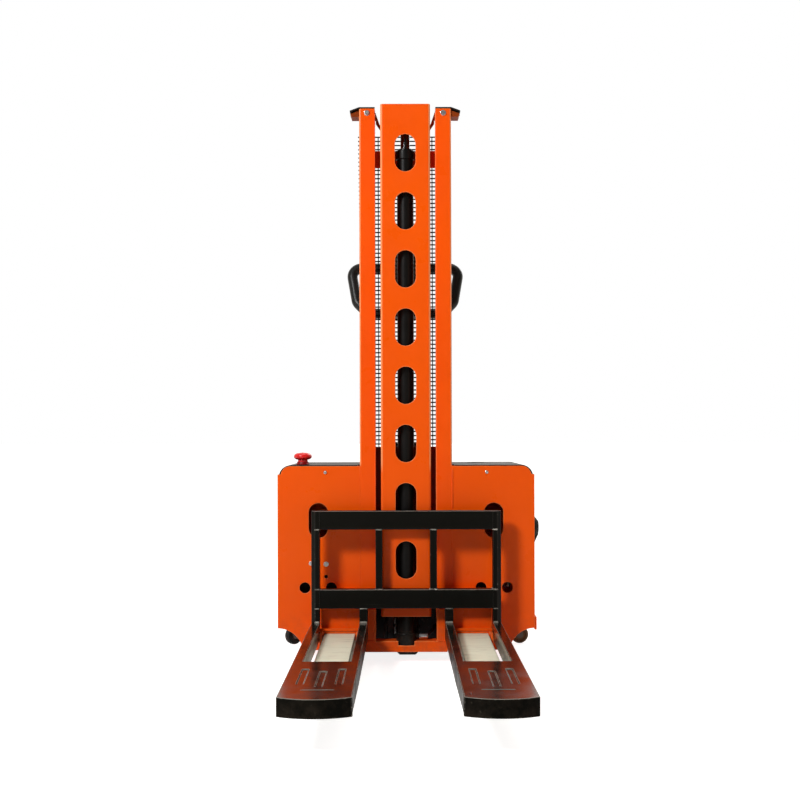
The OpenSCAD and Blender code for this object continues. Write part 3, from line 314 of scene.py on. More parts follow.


def paint(name, base, deep, rough, peel=0.10, dust=0.04, worn=None, wear=0.0,
          scratch=0.0, scratch_along=(3, 160, 160), spec=0.25, upper=None, corner_highlight=None):
    """Sprayed paint: patchy tone, orange peel, dust, dirt near the floor, scratches and worn spots.

    The upper tone is a painted highlight on faces that face up, weaker where they also face sideways;
    the tone on the round upright corners is a painted highlight too, weak low down.
    """
    s = Shader(name, specular=spec)
    tone = s.remap(s.noise(2.2, 4), 0.35, 0.68)
    color = s.mix(tone, base, deep)
    speck = s.remap(s.noise(420, 2), 0.70, 0.76, 0.0, dust * 4)
    pale = tuple(min(1.0, c * 0.75 + 0.16) for c in base)
    color = s.mix(speck, color, pale)
    cloud = s.remap(s.noise(9, 6, 0.65), 0.5, 0.85, 0.0, dust * 1.6)
    color = s.mix(cloud, color, pale)
    low = s.remap(s.height(), DIRT_HIGH, DIRT_LOW)
    grime = s.math("MULTIPLY", s.math("MULTIPLY", low, s.remap(s.noise(26, 6, 0.7), 0.42, 0.66)), 0.34)
    color = s.mix(grime, color, DIRT)
    roughness = s.remap(s.noise(14, 5), 0.3, 0.7, rough[0], rough[1])
    if scratch:
        lines = s.remap(s.noise(1.0, 2, 0.5, scratch_along), 0.66, 0.72, 0.0, scratch)
        patch = s.remap(s.noise(5, 3), 0.48, 0.62)
        lines = s.math("MULTIPLY", lines, patch)
        color = s.mix(lines, color, worn or pale)
        roughness = s.math("ADD", roughness, s.math("MULTIPLY", lines, 0.35))
    if wear:
        chips = s.remap(s.noise(95, 5, 0.7), 0.66 - 0.16 * wear, 0.70 - 0.16 * wear)
        patch = s.remap(s.noise(7, 3), 0.45, 0.60)
        chips = s.math("MULTIPLY", s.math("MULTIPLY", chips, patch), 0.8)
        color = s.mix(chips, color, worn or pale)
    if upper or corner_highlight:
        sideways = s.math("ABSOLUTE", s.facing("X"))
    # Painted highlight: a lighter tone on faces that face up.
    if upper:
        top_highlight_mask = s.remap(s.facing("Z"), 0.25, 0.65)
        top_highlight_mask = s.math("MULTIPLY", top_highlight_mask, s.remap(sideways, 0.3, 0.6, 1.0, 0.15))
        color = s.mix(top_highlight_mask, color, upper)
    # Painted highlight: a lighter tone on the round upright corners, weak low down.
    if corner_highlight:
        corner_highlight_mask = s.math("MULTIPLY", s.remap(sideways, 0.25, 0.5), s.remap(sideways, 0.98, 0.90))
        corner_highlight_mask = s.math("MULTIPLY", corner_highlight_mask, s.remap(s.height(), *CORNER_HIGHLIGHT_FADE, 0.06, 1.0))
        color = s.mix(corner_highlight_mask, color, corner_highlight)
    normal = s.bump(s.noise(620, 2), peel, 0.0004)
    normal = s.bump(s.noise(38, 3), peel * 0.9, 0.0012, normal)
    return s.done(color, roughness, normal)


def metal(name, base, rough, brush=(1, 1, 1), stain=(0.25, 0.22, 0.18), amount=0.2):
    """Plated or machined metal with fine brushing and faint stains."""
    s = Shader(name, metallic=1.0)
    color = s.mix(s.remap(s.noise(16, 5), 0.45, 0.75, 0.0, amount), base, stain)
    roughness = s.remap(s.noise(60, 4, 0.6, brush), 0.3, 0.7, rough[0], rough[1])
    normal = s.bump(s.noise(340, 3, 0.6, brush), 0.12, 0.0004)
    return s.done(color, roughness, normal)


def moulded(name, base, deep, rough=(0.45, 0.62), grain=700, depth=0.25, coat=0.0, spec=0.5):
    """Moulded plastic or rubber with a fine grain and slight dust."""
    s = Shader(name, coat=coat, specular=spec)
    color = s.mix(s.remap(s.noise(7, 4), 0.35, 0.7), base, deep)
    dusty = tuple(c * 0.7 + 0.12 for c in base)
    color = s.mix(s.remap(s.noise(30, 6, 0.7), 0.55, 0.85, 0.0, 0.10), color, dusty)
    roughness = s.remap(s.noise(24, 4), 0.3, 0.7, rough[0], rough[1])
    grain_height = s.node("ShaderNodeTexVoronoi", {"Vector": s.coords, "Scale": grain}).outputs["Distance"]
    normal = s.bump(grain_height, depth, 0.0004)
    return s.done(color, roughness, normal)


# Materials
# Its round upright corners get a lighter tone, which is painted highlight.
ORANGE = paint("orange_paint", (0.96, 0.107, 0.0015), (0.90, 0.091, 0.001), rough=(0.26, 0.38), peel=0.07,
               dust=0.008, spec=0.16, corner_highlight=(1.0, 0.34, 0.13))
# Lighter than the face paint: a painted highlight on the rounded edges, with chips of wear.
ORANGE_EDGE_HIGHLIGHT_AND_WEAR = paint("orange_edge_highlight_and_wear", (1.0, 0.26, 0.075), (1.0, 0.18, 0.030), rough=(0.22, 0.34), peel=0.06,
                    dust=0.02, worn=(0.30, 0.12, 0.07), wear=0.30)
# Darker orange on the mast's back plate and cross member: painted shade behind the mast.
ORANGE_REAR_SHADE = paint("orange_rear_painted_shade", (0.62, 0.050, 0.001), (0.50, 0.040, 0.001), rough=(0.34, 0.48), peel=0.07,
                    dust=0.02, spec=0.12)
# Very dark orange on the back plate's front: painted shade.
BACK_PLATE_SHADE = paint("back_plate_painted_shade", (0.15, 0.017, 0.004), (0.10, 0.012, 0.003), rough=(0.30, 0.45), peel=0.07,
                dust=0.01, spec=0.10)
# Brownish orange on the mast's top bracket: painted shade under the column caps.
BRACKET_SHADE = paint("bracket_painted_shade", (0.30, 0.048, 0.005), (0.20, 0.034, 0.004), rough=(0.34, 0.50), peel=0.10,
              dust=0.03, spec=0.08)
BLACK = paint("black_paint", (0.0058, 0.0054, 0.0040), (0.0040, 0.0037, 0.0028), rough=(0.30, 0.46),
              peel=0.09, dust=0.010, worn=(0.09, 0.085, 0.075), scratch=0.14, spec=0.08)
# Lighter than the face paint: a painted highlight on the rounded edges, with chips of wear, and lighter
# still where they face up, also painted highlight.
BLACK_EDGE_HIGHLIGHT_AND_WEAR = paint("black_edge_highlight_and_wear", (0.012, 0.0115, 0.0095), (0.008, 0.0075, 0.006), rough=(0.28, 0.42),
                   peel=0.05, dust=0.02, worn=(0.13, 0.12, 0.105), wear=0.35, spec=0.16,
                   upper=(0.30, 0.285, 0.25))
GLOSS = paint("gloss_black_paint", (0.0038, 0.0034, 0.0024), (0.0026, 0.0023, 0.0017), rough=(0.15, 0.25),
              peel=0.030, dust=0.006, worn=(0.07, 0.055, 0.045), scratch=0.16,
              scratch_along=(150, 5, 150), spec=0.6)
# Lighter than the face paint: a painted highlight on the rounded edges, with chips of wear, and lighter
# still where they face up, also painted highlight.
GLOSS_EDGE_HIGHLIGHT_AND_WEAR = paint("gloss_black_edge", (0.018, 0.016, 0.013), (0.010, 0.009, 0.007), rough=(0.20, 0.34),
                   peel=0.04, dust=0.03, worn=(0.22, 0.20, 0.17), wear=0.7, spec=0.16,
                   upper=(0.23, 0.205, 0.17))
FORK_SIDE = paint("fork_side_black", (0.0030, 0.0028, 0.0018), (0.0020, 0.0018, 0.0012), rough=(0.22, 0.36),
                  peel=0.05, dust=0.006, worn=(0.09, 0.08, 0.06), scratch=0.24, scratch_along=(90, 9, 90),
                  spec=0.03)
WIRE = paint("wire_black", (0.0050, 0.0048, 0.0042), (0.0035, 0.0033, 0.0030), rough=(0.50, 0.62), spec=0.06,
             dust=0.004)
DARK = paint("dark_cast_paint", (0.060, 0.062, 0.066), (0.040, 0.041, 0.044), rough=(0.40, 0.58), peel=0.30,
             dust=0.06, worn=(0.28, 0.26, 0.23), wear=0.4)
MOTOR = paint("motor_black", (0.007, 0.0065, 0.006), (0.005, 0.0045, 0.004), rough=(0.26, 0.40), peel=0.08,
              dust=0.012, spec=0.15)
BATTERY = moulded("battery_case", (0.045, 0.046, 0.050), (0.030, 0.031, 0.034))
GRIP = moulded("grip_black", (0.011, 0.011, 0.0095), (0.007, 0.007, 0.006), rough=(0.30, 0.44), grain=900,
               depth=0.18, spec=0.32)
LID = moulded("lid_black", (0.024, 0.023, 0.021), (0.017, 0.016, 0.015), rough=(0.38, 0.52), grain=1100,
              depth=0.12, spec=0.15)
HOSE = moulded("hose_rubber", (0.014, 0.014, 0.014), (0.009, 0.009, 0.009), rough=(0.45, 0.6), grain=650,
               depth=0.3)
TYRE = moulded("tyre_black", (0.014, 0.014, 0.0135), (0.009, 0.009, 0.0085), rough=(0.55, 0.72), grain=420,
               depth=0.35, spec=0.25)
OLD_TYRE = moulded("worn_tyre", (0.21, 0.155, 0.085), (0.085, 0.060, 0.034), rough=(0.50, 0.66), grain=420,
                   depth=0.35, spec=0.25)
CREAM = moulded("wheel_cream", (0.52, 0.45, 0.30), (0.42, 0.36, 0.24), rough=(0.32, 0.45), grain=300,
                depth=0.10, coat=0.1)
RED = moulded("stop_red", (0.92, 0.013, 0.013), (0.66, 0.008, 0.009), rough=(0.22, 0.32), grain=1300,
              depth=0.05, coat=0.12)
# Darker red on the stop button's neck: painted shade under its head.
RED_NECK_SHADE = moulded("stop_neck_red_painted_shade", (0.30, 0.006, 0.008), (0.20, 0.004, 0.006), rough=(0.34, 0.46),
                   grain=1300, depth=0.05, spec=0.2)
ZINC = metal("zinc_steel", (0.66, 0.67, 0.68), (0.24, 0.40), brush=(1, 1, 6))
DULL_ZINC = metal("dull_zinc", (0.17, 0.165, 0.15), (0.42, 0.58), brush=(1, 1, 6), stain=(0.06, 0.05, 0.04),
                  amount=0.5)
ROD = metal("rod_steel", (0.10, 0.10, 0.105), (0.16, 0.26), brush=(40, 40, 1), amount=0.06)
# Light grey beads at the posts' feet: a painted highlight, with chips of wear.
POST_FOOT_WELD_HIGHLIGHT = paint("post_foot_weld_highlight", (0.52, 0.50, 0.44), (0.20, 0.19, 0.16), rough=(0.25, 0.40), peel=0.5,
                    dust=0.10, worn=(0.75, 0.73, 0.68), wear=0.8, spec=0.5)
MATT = moulded("matt_black", (0.0065, 0.0065, 0.006), (0.0045, 0.0045, 0.004), rough=(0.42, 0.58), grain=800,
               depth=0.15, spec=0.10)
# Light grey beads on the black frame: a painted highlight, with chips of wear.
WELD_HIGHLIGHT_AND_WEAR = paint("weld_highlight_and_wear", (0.20, 0.19, 0.165), (0.035, 0.033, 0.028), rough=(0.25, 0.42), peel=0.5,
             dust=0.10, worn=(0.60, 0.58, 0.52), wear=1.1, spec=0.5)
ALLOY = metal("cast_alloy", (0.56, 0.565, 0.57), (0.34, 0.50), amount=0.25)


def ivory_paint():
    """Ivory enamel on the legs: faint cross lines and rub marks where they slide."""
    s = Shader("ivory_paint", coat=0.1, coat_roughness=0.2)
    color = s.mix(s.remap(s.noise(3.5, 5), 0.35, 0.7), (0.95, 0.985, 0.78), (0.88, 0.90, 0.70))
    lines = s.remap(s.noise(1.0, 3, 0.6, (5, 60, 40), 1.3), 0.50, 0.66, 0.0, 0.62)
    lines = s.math("MULTIPLY", lines, s.remap(s.noise(11, 3), 0.40, 0.62, 0.2, 1.0))
    color = s.mix(lines, color, (0.60, 0.58, 0.44))
    scuffs = s.remap(s.noise(1.0, 4, 0.7, (14, 160, 60), 0.8), 0.66, 0.72, 0.0, 0.5)
    color = s.mix(scuffs, color, (0.93, 0.91, 0.82))
    dirt = s.remap(s.noise(22, 6, 0.7), 0.56, 0.8, 0.0, 0.30)
    color = s.mix(dirt, color, (0.30, 0.25, 0.18))
    roughness = s.remap(s.noise(18, 5), 0.3, 0.7, 0.34, 0.52)
    normal = s.bump(s.noise(1.0, 3, 0.6, (4, 140, 60)), 0.15, 0.0005)
    return s.done(color, roughness, s.bump(s.noise(520, 2), 0.08, 0.0004, normal))


IVORY = ivory_paint()

# For each slot the material of the faces and that of the rounded edges, whose lighter tone is painted
# highlight as well as wear
BY_SLOT = {
    "orange_paint": (ORANGE, ORANGE_EDGE_HIGHLIGHT_AND_WEAR), "black_paint": (BLACK, BLACK_EDGE_HIGHLIGHT_AND_WEAR),
    "gloss_black_paint": (GLOSS, GLOSS_EDGE_HIGHLIGHT_AND_WEAR), "ivory_paint": (IVORY, None), "dark_steel": (DARK, None),
    "zinc_steel": (ZINC, None), "rod_steel": (ROD, None), "motor_black": (MOTOR, None),
    "tyre_black": (TYRE, None), "wheel_cream": (CREAM, None), "grip_black": (GRIP, None),
    "lid_black": (LID, None), "stop_red": (RED, None), "battery_case": (BATTERY, None),
    "hose_rubber": (HOSE, None), "cast_alloy": (ALLOY, None),
}

# CAD solids with rounded edges: width of the rounding in metres, number of steps
ROUNDING = {
    "base_frame": (0.0022, 3), "drive_mount": (0.0010, 1), "mast_column_left": (0.0016, 2),
    "mast_column_right": (0.0016, 2), "mast_back_plate": (0.0008, 2), "mast_cross_member": (0.0008, 2),
    "mast_top_bracket": (0.0009, 2), "column_caps": (0.0009, 2), "lift_cylinder": (0.0012, 2),
    "leg_sleeve_left": (0.0016, 2), "leg_sleeve_right": (0.0016, 2), "front_panel_left": (0.0011, 2),
    "front_panel_right": (0.0011, 2), "side_cover_left": (0.0010, 2), "side_cover_right": (0.0010, 2),
    "rear_cover": (0.0009, 2), "top_lid": (0.0018, 3), "battery": (0.0030, 3), "pump_motor": (0.0020, 2),
    "valve_block": (0.0014, 2), "oil_tank": (0.0015, 2), "controller": (0.0008, 1), "charger": (0.0008, 1),
    "estop_base": (0.0008, 2), "battery_gauge": (0.0010, 2), "charge_socket": (0.0006, 1),
    "caster_plates": (0.0007, 1), "inner_mast": (0.0016, 2), "fork_frame": (0.0019, 3),
    "fork_left": (0.0019, 3), "fork_right": (0.0019, 3), "lift_rod": (0.0008, 1),
    "guide_roller_low_left": (0.0006, 1), "guide_roller_low_right": (0.0006, 1),
    "guide_roller_high_left": (0.0006, 1), "guide_roller_high_right": (0.0006, 1),
    "leg_bar_left": (0.0030, 3), "leg_bar_right": (0.0028, 3), "leg_wheel_left": (0.0012, 2),
    "leg_wheel_right": (0.0012, 2), "drive_gearbox": (0.0020, 2), "drive_motor": (0.0010, 1),
    "drive_wheel": (0.0018, 2), "tiller_base": (0.0012, 2), "tiller_arm": (0.0018, 2),
    "tiller_head": (0.0040, 4), "throttle": (0.0012, 2), "belly_button": (0.0028, 3),
    "lift_button": (0.0014, 3), "lower_button": (0.0014, 3), "caster_fork_left": (0.0006, 1),
    "caster_fork_right": (0.0006, 1), "caster_wheel_left": (0.0012, 2), "caster_wheel_right": (0.0012, 2),
    "estop_button": (0.0012, 2), "charge_cap": (0.0008, 2),
}
# Pieces with their own materials: aged, dull plating, a brownish tyre, matt plastic, and darker orange on
# the mast's back parts and top bracket, which is painted shade
OWN_TONE_OR_SHADE = {
    "mast_top_bracket": (BRACKET_SHADE, None), "mast_back_plate": (ORANGE_REAR_SHADE, ORANGE),
    "mast_cross_member": (ORANGE_REAR_SHADE, ORANGE),
    "caster_fork_left": (DULL_ZINC, None), "caster_fork_right": (DULL_ZINC, None),
    "caster_wheel_right": (OLD_TYRE, None), "charge_socket": (MATT, None),
    "charge_cap": (MATT, None),
}
for node, (width, steps) in ROUNDING.items():
    face, edge = OWN_TONE_OR_SHADE.get(node) or BY_SLOT[SLOT[node]]
    skin(node, face, width, steps, edge=edge, upright=FORK_SIDE if face is GLOSS else None)


LID_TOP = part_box("top_lid")[1][2]
LID_CLEARANCE = 0.0005     # the collar's faces further up than this above the lid are a darker red, which is painted shade
GAUGE_RISE = 0.3           # share of the gauge rim's height that is kept


def shaded_red_collar():
    """The stop button's collar is red where it stands above the lid, a darker red than the button, which is
    painted shade.
    """
    def above_lid(mesh, face):
        return min(mesh.vertices[v].co.z for v in face.vertices) > LID_TOP + LID_CLEARANCE

    repaint("estop_base", RED_NECK_SHADE, above_lid)


def shade_back_plate():
    """The front of the mast's back plate is very dark: painted shade, for it lies deep in shadow behind the
    mast.
    """
    repaint("mast_back_plate", BACK_PLATE_SHADE, lambda mesh, face: face.normal.y < -0.5)


def low_gauge():
    """The gauge's rim stands barely above the lid, so it stays out of sight from the front."""
    for vertex in bpy.data.objects["battery_gauge_skin"].data.vertices:
        if vertex.co.z > LID_TOP:
            vertex.co.z = LID_TOP + (vertex.co.z - LID_TOP) * GAUGE_RISE


def wire_guard():
    """Guard of round wires: level ones, whose left ends are cut a little askew, over upright ones."""
    bm = bmesh.new()
    low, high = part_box("wire_guard")
    middle = (low[1] + high[1]) / 2
    left, right = low[0] + 0.0003, high[0] - 0.0015
    inset, pitch = 0.0015, 0.0128
    level_radius, end_radius, side_radius, inner_radius = 0.0021, 0.0018, 0.0019, 0.0015
    cut, cut_top, cut_length = 0.005, 1.60, 0.40
    for i in range(round((high[2] - low[2] - 2 * inset) / pitch) + 1):
        z = low[2] + inset + i * pitch
        askew = cut * min(1.0, max(0.0, (cut_top - z) / cut_length))
        tube(bm, [Vector((x, middle + 0.0006, z)) for x in (left + askew, 0, right)], level_radius, 8)
    for x in (-right, -right * 0.61, 0.0, right * 0.61, right):
        radius = side_radius if abs(x) == right else inner_radius
        tube(bm, [Vector((x, middle - 0.0008, z)) for z in (low[2], high[2])], radius, 8)
    for z in (low[2] + end_radius, high[2] - end_radius):
        tube(bm, [Vector((x, middle - 0.0004, z)) for x in (-right, right)], end_radius, 8)
    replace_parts(finished("guard_wires", bm, [WIRE], "chassis", weighted=False), "wire_guard")


def hex_bolt(bm, point, normal, across, height, washer, turn):
    """A hexagon bolt's head with its chamfer, on a washer of a given radius."""
    place = facing(point, normal)
    base = 0.0016
    lathe(bm, [(0.0, 0.0), (washer, 0.0), (washer, base * 0.8), (washer - base * 0.4, base), (0.0, base)],
          place, 32)
    outline = polygon(6, across / math.sqrt(3), turn)
    rings = [[bm.verts.new(place @ Vector((x * k, y * k, base + h))) for x, y in outline]
             for k, h in ((0.97, 0.0), (1.0, height * 0.06), (1.0, height * 0.80), (0.90, height))]
    for lower, upper in zip(rings, rings[1:]):
        band(bm, lower, upper)
    bm.faces.new(rings[-1])
    bm.faces.new(list(reversed(rings[0])))


def socket_screw(bm, point, normal, radius, height, turn):
    """A button-head screw with a six-sided socket."""
    place = facing(point, normal)
    angles = angles_round(36)

    def ring(rise, radii):
        return [bm.verts.new(place @ Vector((r * math.cos(a), r * math.sin(a), height * rise)))
                for a, r in zip(angles, radii)]

    rings = [ring(rise, [radius * share] * len(angles))
             for share, rise in ((1.0, 0.0), (1.0, 0.25), (0.92, 0.62), (0.74, 0.88), (0.50, 1.0))]
    sixth = math.pi / 3
    socket = [radius * 0.40 * math.cos(sixth / 2) / math.cos((a - turn) % sixth - sixth / 2) for a in angles]
    rings += [ring(rise, socket) for rise in (1.0, 0.35)]
    bm.faces.new(list(reversed(rings[0])))
    for lower, upper in zip(rings, rings[1:]):
        band(bm, lower, upper)
    bm.faces.new(rings[-1])


def fasteners():
    """Bolts of the columns, screws of the panels and covers, and two bolts on the left panel."""
    bm = bmesh.new()
    column = (COLUMN_IN + COLUMN_OUT) / 2
    for side in (-1, 1):
        hex_bolt(bm, at(side * column, 0, COLUMN_TOP - 0.014), FORWARD, 0.0125, 0.0042, 0.0085, 0.25 + side)
        socket_screw(bm, at(side * 0.245, 0, 0.571), FORWARD, 0.0055, 0.003, 0.3)
        for y in (0.090, BODY_DEPTH - 0.060):
            for z in (0.118, 0.545, 0.480):
                socket_screw(bm, at(side * BODY_HALF, y, z), (side, 0, 0), 0.0052, 0.003, y + z)
        for x in (0.330, 0.160):
            for z in (0.560, 0.130):
                socket_screw(bm, at(side * x, BODY_DEPTH, z), BACKWARD, 0.0045, 0.0024, x)
    hex_bolt(bm, at(-0.243, 0, 0.293), FORWARD, 0.0105, 0.0055, 0.0078, 0.4)
    hex_bolt(bm, at(-0.289, 0, 0.295), FORWARD, 0.0085, 0.0042, 0.0062, 0.9)
    cap_ends(bm)
    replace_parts(finished("bolts_and_screws", bm, [ZINC], "chassis", 32), "fasteners")


# The hose's ends in the cylinder's port and in the valve block, and the points between them
HOSE_ENDS = (0.039, -0.010, 0.076), (0.169, 0.226, 0.165)
HOSE_ROUTE = [(0.051, -0.010, 0.076), (0.058, -0.003, 0.077), (0.063, 0.007, 0.078), (0.070, 0.022, 0.081),
              (0.079, 0.038, 0.085), (0.084, 0.050, 0.089), (0.085, 0.062, 0.093), (0.092, 0.076, 0.097),
              (0.102, 0.098, 0.100), (0.109, 0.125, 0.103), (0.112, 0.155, 0.110), (0.115, 0.185, 0.125),
              (0.124, 0.208, 0.146), (0.140, 0.221, 0.160), (0.157, 0.226, 0.165)]
HOSE_RADIUS = 0.006


def hydraulic_hose():
    """Pressure hose from the lift cylinder to the valve block, with a crimped fitting at each end."""
    bm = bmesh.new()
    path = [at(*HOSE_ENDS[0])] + spline([at(*p) for p in HOSE_ROUTE], 8) + [at(*HOSE_ENDS[1])]
    tube(bm, path, HOSE_RADIUS, 24)
    cap_ends(bm)
    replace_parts(finished("pressure_hose", bm, [HOSE], "chassis"), "hydraulic_hose")
    bm = bmesh.new()
    nut, sleeve = 0.0098, 0.0083
    for start, inner in ((path[0], path[1]), (path[-1], path[-2])):
        place = facing(start, inner - start)
        lathe(bm, [(0.0, 0.006), (sleeve, 0.006), (sleeve, 0.010), (sleeve * 0.93, 0.0105), (sleeve, 0.0112),
                   (sleeve, 0.016), (sleeve * 0.93, 0.0166), (sleeve, 0.0172), (sleeve, 0.024),
                   (sleeve * 0.85, 0.026), (HOSE_RADIUS, 0.026)], place, 32)
        prism(bm, polygon(6, nut, 0.3), 0.0062, place)
    cap_ends(bm)
    finished("hose_fittings", bm, [ZINC], "chassis", 32)


def bead(bm, start, end, radius, pitch=0.0032):
    """A weld bead: overlapping ripples along a line, half sunk in the corner."""
    ripples = max(3, round((end - start).length / pitch))
    steps = ripples * 4
    path, sizes = [], []
    for i in range(steps + 1):
        t = i / steps
        point = start + (end - start) * t
        swell = 0.74 + 0.26 * abs(math.sin(math.pi * t * ripples)) + 0.22 * noise.noise(point * 160)
        path.append(point)
        sizes.append(radius * swell * min(1.0, 0.35 + 9 * min(t, 1 - t)))
    tube(bm, path, lambda t: sizes[round(t * steps)], 10)


# Fork frame: heights just under and over its lower bar and just under its upper bar
UNDER_LOW, OVER_LOW, UNDER_TOP = 0.1695, 0.2265, 0.4035
FRAME_END = 0.2720         # outer side of its outermost posts
# The two sides of its posts and the heights of their joints
FRAME_JOINTS = ((0.0715, 0.0905, (OVER_LOW, UNDER_TOP)), (0.1155, 0.1385, (UNDER_LOW,)),
                (0.2575, FRAME_END, (OVER_LOW, UNDER_TOP, UNDER_LOW)))
WELD_FACE = FRAME_FRONT - 0.0004
BAR_EDGE = 0.0655          # height of the weld at the chassis' front bar


def welds():
    """Beads on the fork frame and on the front bar, and the joints of the columns with the panels."""
    bm = bmesh.new()
    for side in (-1, 1):
        for x0, x1, heights in FRAME_JOINTS:
            for z in heights:
                radius = 0.0020 if z == UNDER_LOW else 0.0024
                bead(bm, at(side * x0, WELD_FACE, z), at(side * x1, WELD_FACE, z), radius)
                for x in (x0, x1) if x1 < FRAME_END else (x0,):
                    bead(bm, at(side * x, WELD_FACE + 0.001, z), at(side * x, FRAME_BACK - 0.001, z), radius)
    # The frame's beads are light grey: a painted highlight with chips of wear.
    finished("frame_welds", bm, [WELD_HIGHLIGHT_AND_WEAR], "lift_carriage", 60, weighted=False)
    bm = bmesh.new()
    # The beads at the posts' feet are light grey: a painted highlight.
    y, z = WELD_FACE - 0.0004, FORK_TOP + 0.0015
    for side in (-1, 1):
        for x0, x1 in ((0.1160, 0.1380), (0.2575, FRAME_END)):
            bead(bm, at(side * x0, y, z), at(side * x1, y, z), 0.0045)
    finished("post_foot_welds", bm, [POST_FOOT_WELD_HIGHLIGHT], "lift_carriage", 60, weighted=False)
    bm = bmesh.new()
    y = WELD_FACE + 0.0004
    for side in (-1, 1):
        for z0, z1 in ((0.4055, 0.4575), (0.1710, 0.2255)):
            bead(bm, at(side * 0.2570, y, z0), at(side * 0.2570, y, z1), 0.0012)
    finished("bar_joints", bm, [BLACK_EDGE_HIGHLIGHT_AND_WEAR], "lift_carriage", 60, weighted=False)
    bm = bmesh.new()
    for side in (-1, 1):
        bead(bm, at(side * 0.0925, -0.0405, BAR_EDGE), at(side * 0.1235, -0.0405, BAR_EDGE), 0.0022)
        bead(bm, at(side * 0.0918, -0.0390, BAR_EDGE), at(side * 0.0918, -0.001, BAR_EDGE), 0.0022)
        bead(bm, at(side * 0.1405, 0.0004, 0.100), at(side * 0.1405, 0.0004, 0.585), 0.0009, 0.006)
    bead(bm, at(0.1407, -0.0002, 0.456), at(0.1407, -0.0002, 0.582), 0.0026)
    finished("chassis_welds", bm, [ORANGE], "chassis", 60, weighted=False)


def joint_fillers():
    """Paint-filled joints between the columns and the front panels."""
    bm = bmesh.new()
    bottom, top = 0.1065, 0.590
    outline = [(-0.0052, 0.0), (0.0016, 0.0), (0.0016, 0.0045), (-0.0020, 0.0045)]
    for side in (-1, 1):
        place = Matrix.Translation(at(side * COLUMN_OUT, 0.0003, bottom)) @ Matrix.Diagonal((side, 1, 1, 1))
        prism(bm, outline, top - bottom, place)
    cap_ends(bm)
    finished("joint_fillers", bm, [ORANGE], "chassis", 30)


def small_fittings():
    """Breather on the cylinder's foot and a plug seen through the right panel's outer hole."""
    bm = bmesh.new()
    place = Matrix.Translation(at(-0.0345, -0.018, 0.0862))
    prism(bm, polygon(6, 0.0052, 0.2), 0.006, place)
    stem = [(0.0, 0.0), (0.0032, 0.0), (0.0032, 0.030), (0.0046, 0.031), (0.0046, 0.040), (0.0030, 0.043),
            (0.0, 0.044)]
    lathe(bm, stem, place @ Matrix.Translation((0, 0, 0.005)), 20)
    prism(bm, polygon(6, 0.0062, 0.5), 0.007, place @ Matrix.Translation((0, 0, 0.020)))
    cap_ends(bm)
    finished("breather", bm, [ROD], "chassis", 32)
    bm = bmesh.new()
    place = facing(at(0.311, 0.062, 0.224), (-0.5, -1, 0.25))
    prism(bm, polygon(6, 0.0125, 0.3), 0.010, place)
    knob = [(0.0, 0.009), (0.0085, 0.009), (0.0085, 0.020), (0.0095, 0.021), (0.0095, 0.026), (0.0, 0.027)]
    lathe(bm, knob, place, 24)
    cap_ends(bm)
    finished("plug", bm, [ZINC], "chassis", 32)


# The tiller leans back from its pivot: in its own frame Z runs along the arm
TILLER = Matrix.Translation(at(0, 0.165, 0.645)) @ Matrix.Rotation(math.radians(-18), 4, "X")
LOOP_OUT, LOOP_TOP, LOOP_FOOT = 0.179, 0.620, 0.458     # half the loops' width, and their two heights


def bent(points, bend, steps):
    """A flat path with its inner corners bent to a radius, as in the CAD source."""
    out = [points[0]]
    for a, p, b in zip(points, points[1:], points[2:]):
        u, v = (p - a).normalized(), (b - p).normalized()
        angle = math.atan2(u.x * v.y - u.y * v.x, u.dot(v))
        start = p - u * bend * math.tan(abs(angle) / 2)
        centre = start + Vector((-u.y, u.x)) * math.copysign(bend, angle)
        spoke = start - centre
        for k in range(steps + 1):
            t = angle * k / steps
            out.append(centre + Vector((spoke.x * math.cos(t) - spoke.y * math.sin(t),
                                        spoke.x * math.sin(t) + spoke.y * math.cos(t))))
    out.append(points[-1])
    return out


def hand_loops():
    """The tiller's two hand loops as one smooth tube."""
    corners = ((0.0, LOOP_TOP), (LOOP_OUT, LOOP_TOP), (LOOP_OUT - 0.021, 0.497),
               (LOOP_OUT - 0.057, LOOP_FOOT), (0.020, LOOP_FOOT))
    half = bent([Vector(p) for p in corners], 0.030, 10)
    path = [TILLER @ Vector((-p.x, 0, p.y)) for p in reversed(half[1:])]
    path += [TILLER @ Vector((p.x, 0, p.y)) for p in half[1:]]
    bm = bmesh.new()
    tube(bm, path, 0.0168, 28)
    cap_ends(bm)
    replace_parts(finished("hand_loop_tube", bm, [GRIP], "tiller"), "hand_loops")


shaded_red_collar()
shade_back_plate()
low_gauge()
wire_guard()
fasteners()
hydraulic_hose()
hand_loops()
welds()
joint_fillers()
small_fittings()


# The camera, fitted to key points of the photograph: in pixels, then in metres and radians
IMAGE_SIZE = 800
FOCAL_LENGTH = 1318.66
CENTRE_X, CENTRE_Y = 402.22, 425.27
CAMERA_PLACE = (-0.01091, -3.6085, 0.6865)
PITCH, ROLL = -0.00674, 0.00255


def camera():
    """The photograph's camera."""
    data = bpy.data.cameras.new("camera")
    data.sensor_fit = "HORIZONTAL"
    data.sensor_width = 36.0
    data.lens = FOCAL_LENGTH / IMAGE_SIZE * data.sensor_width
    data.shift_x = -(CENTRE_X - IMAGE_SIZE / 2) / IMAGE_SIZE
    data.shift_y = (CENTRE_Y - IMAGE_SIZE / 2) / IMAGE_SIZE
    data.clip_end = 100
    obj = bpy.data.objects.new("camera", data)
    bpy.context.scene.collection.objects.link(obj)
    obj.matrix_world = (Matrix.Translation(CAMERA_PLACE) @ Matrix.Rotation(math.pi / 2 - PITCH, 4, "X")
                        @ Matrix.Rotation(-ROLL, 4, "Z"))
    bpy.context.scene.camera = obj


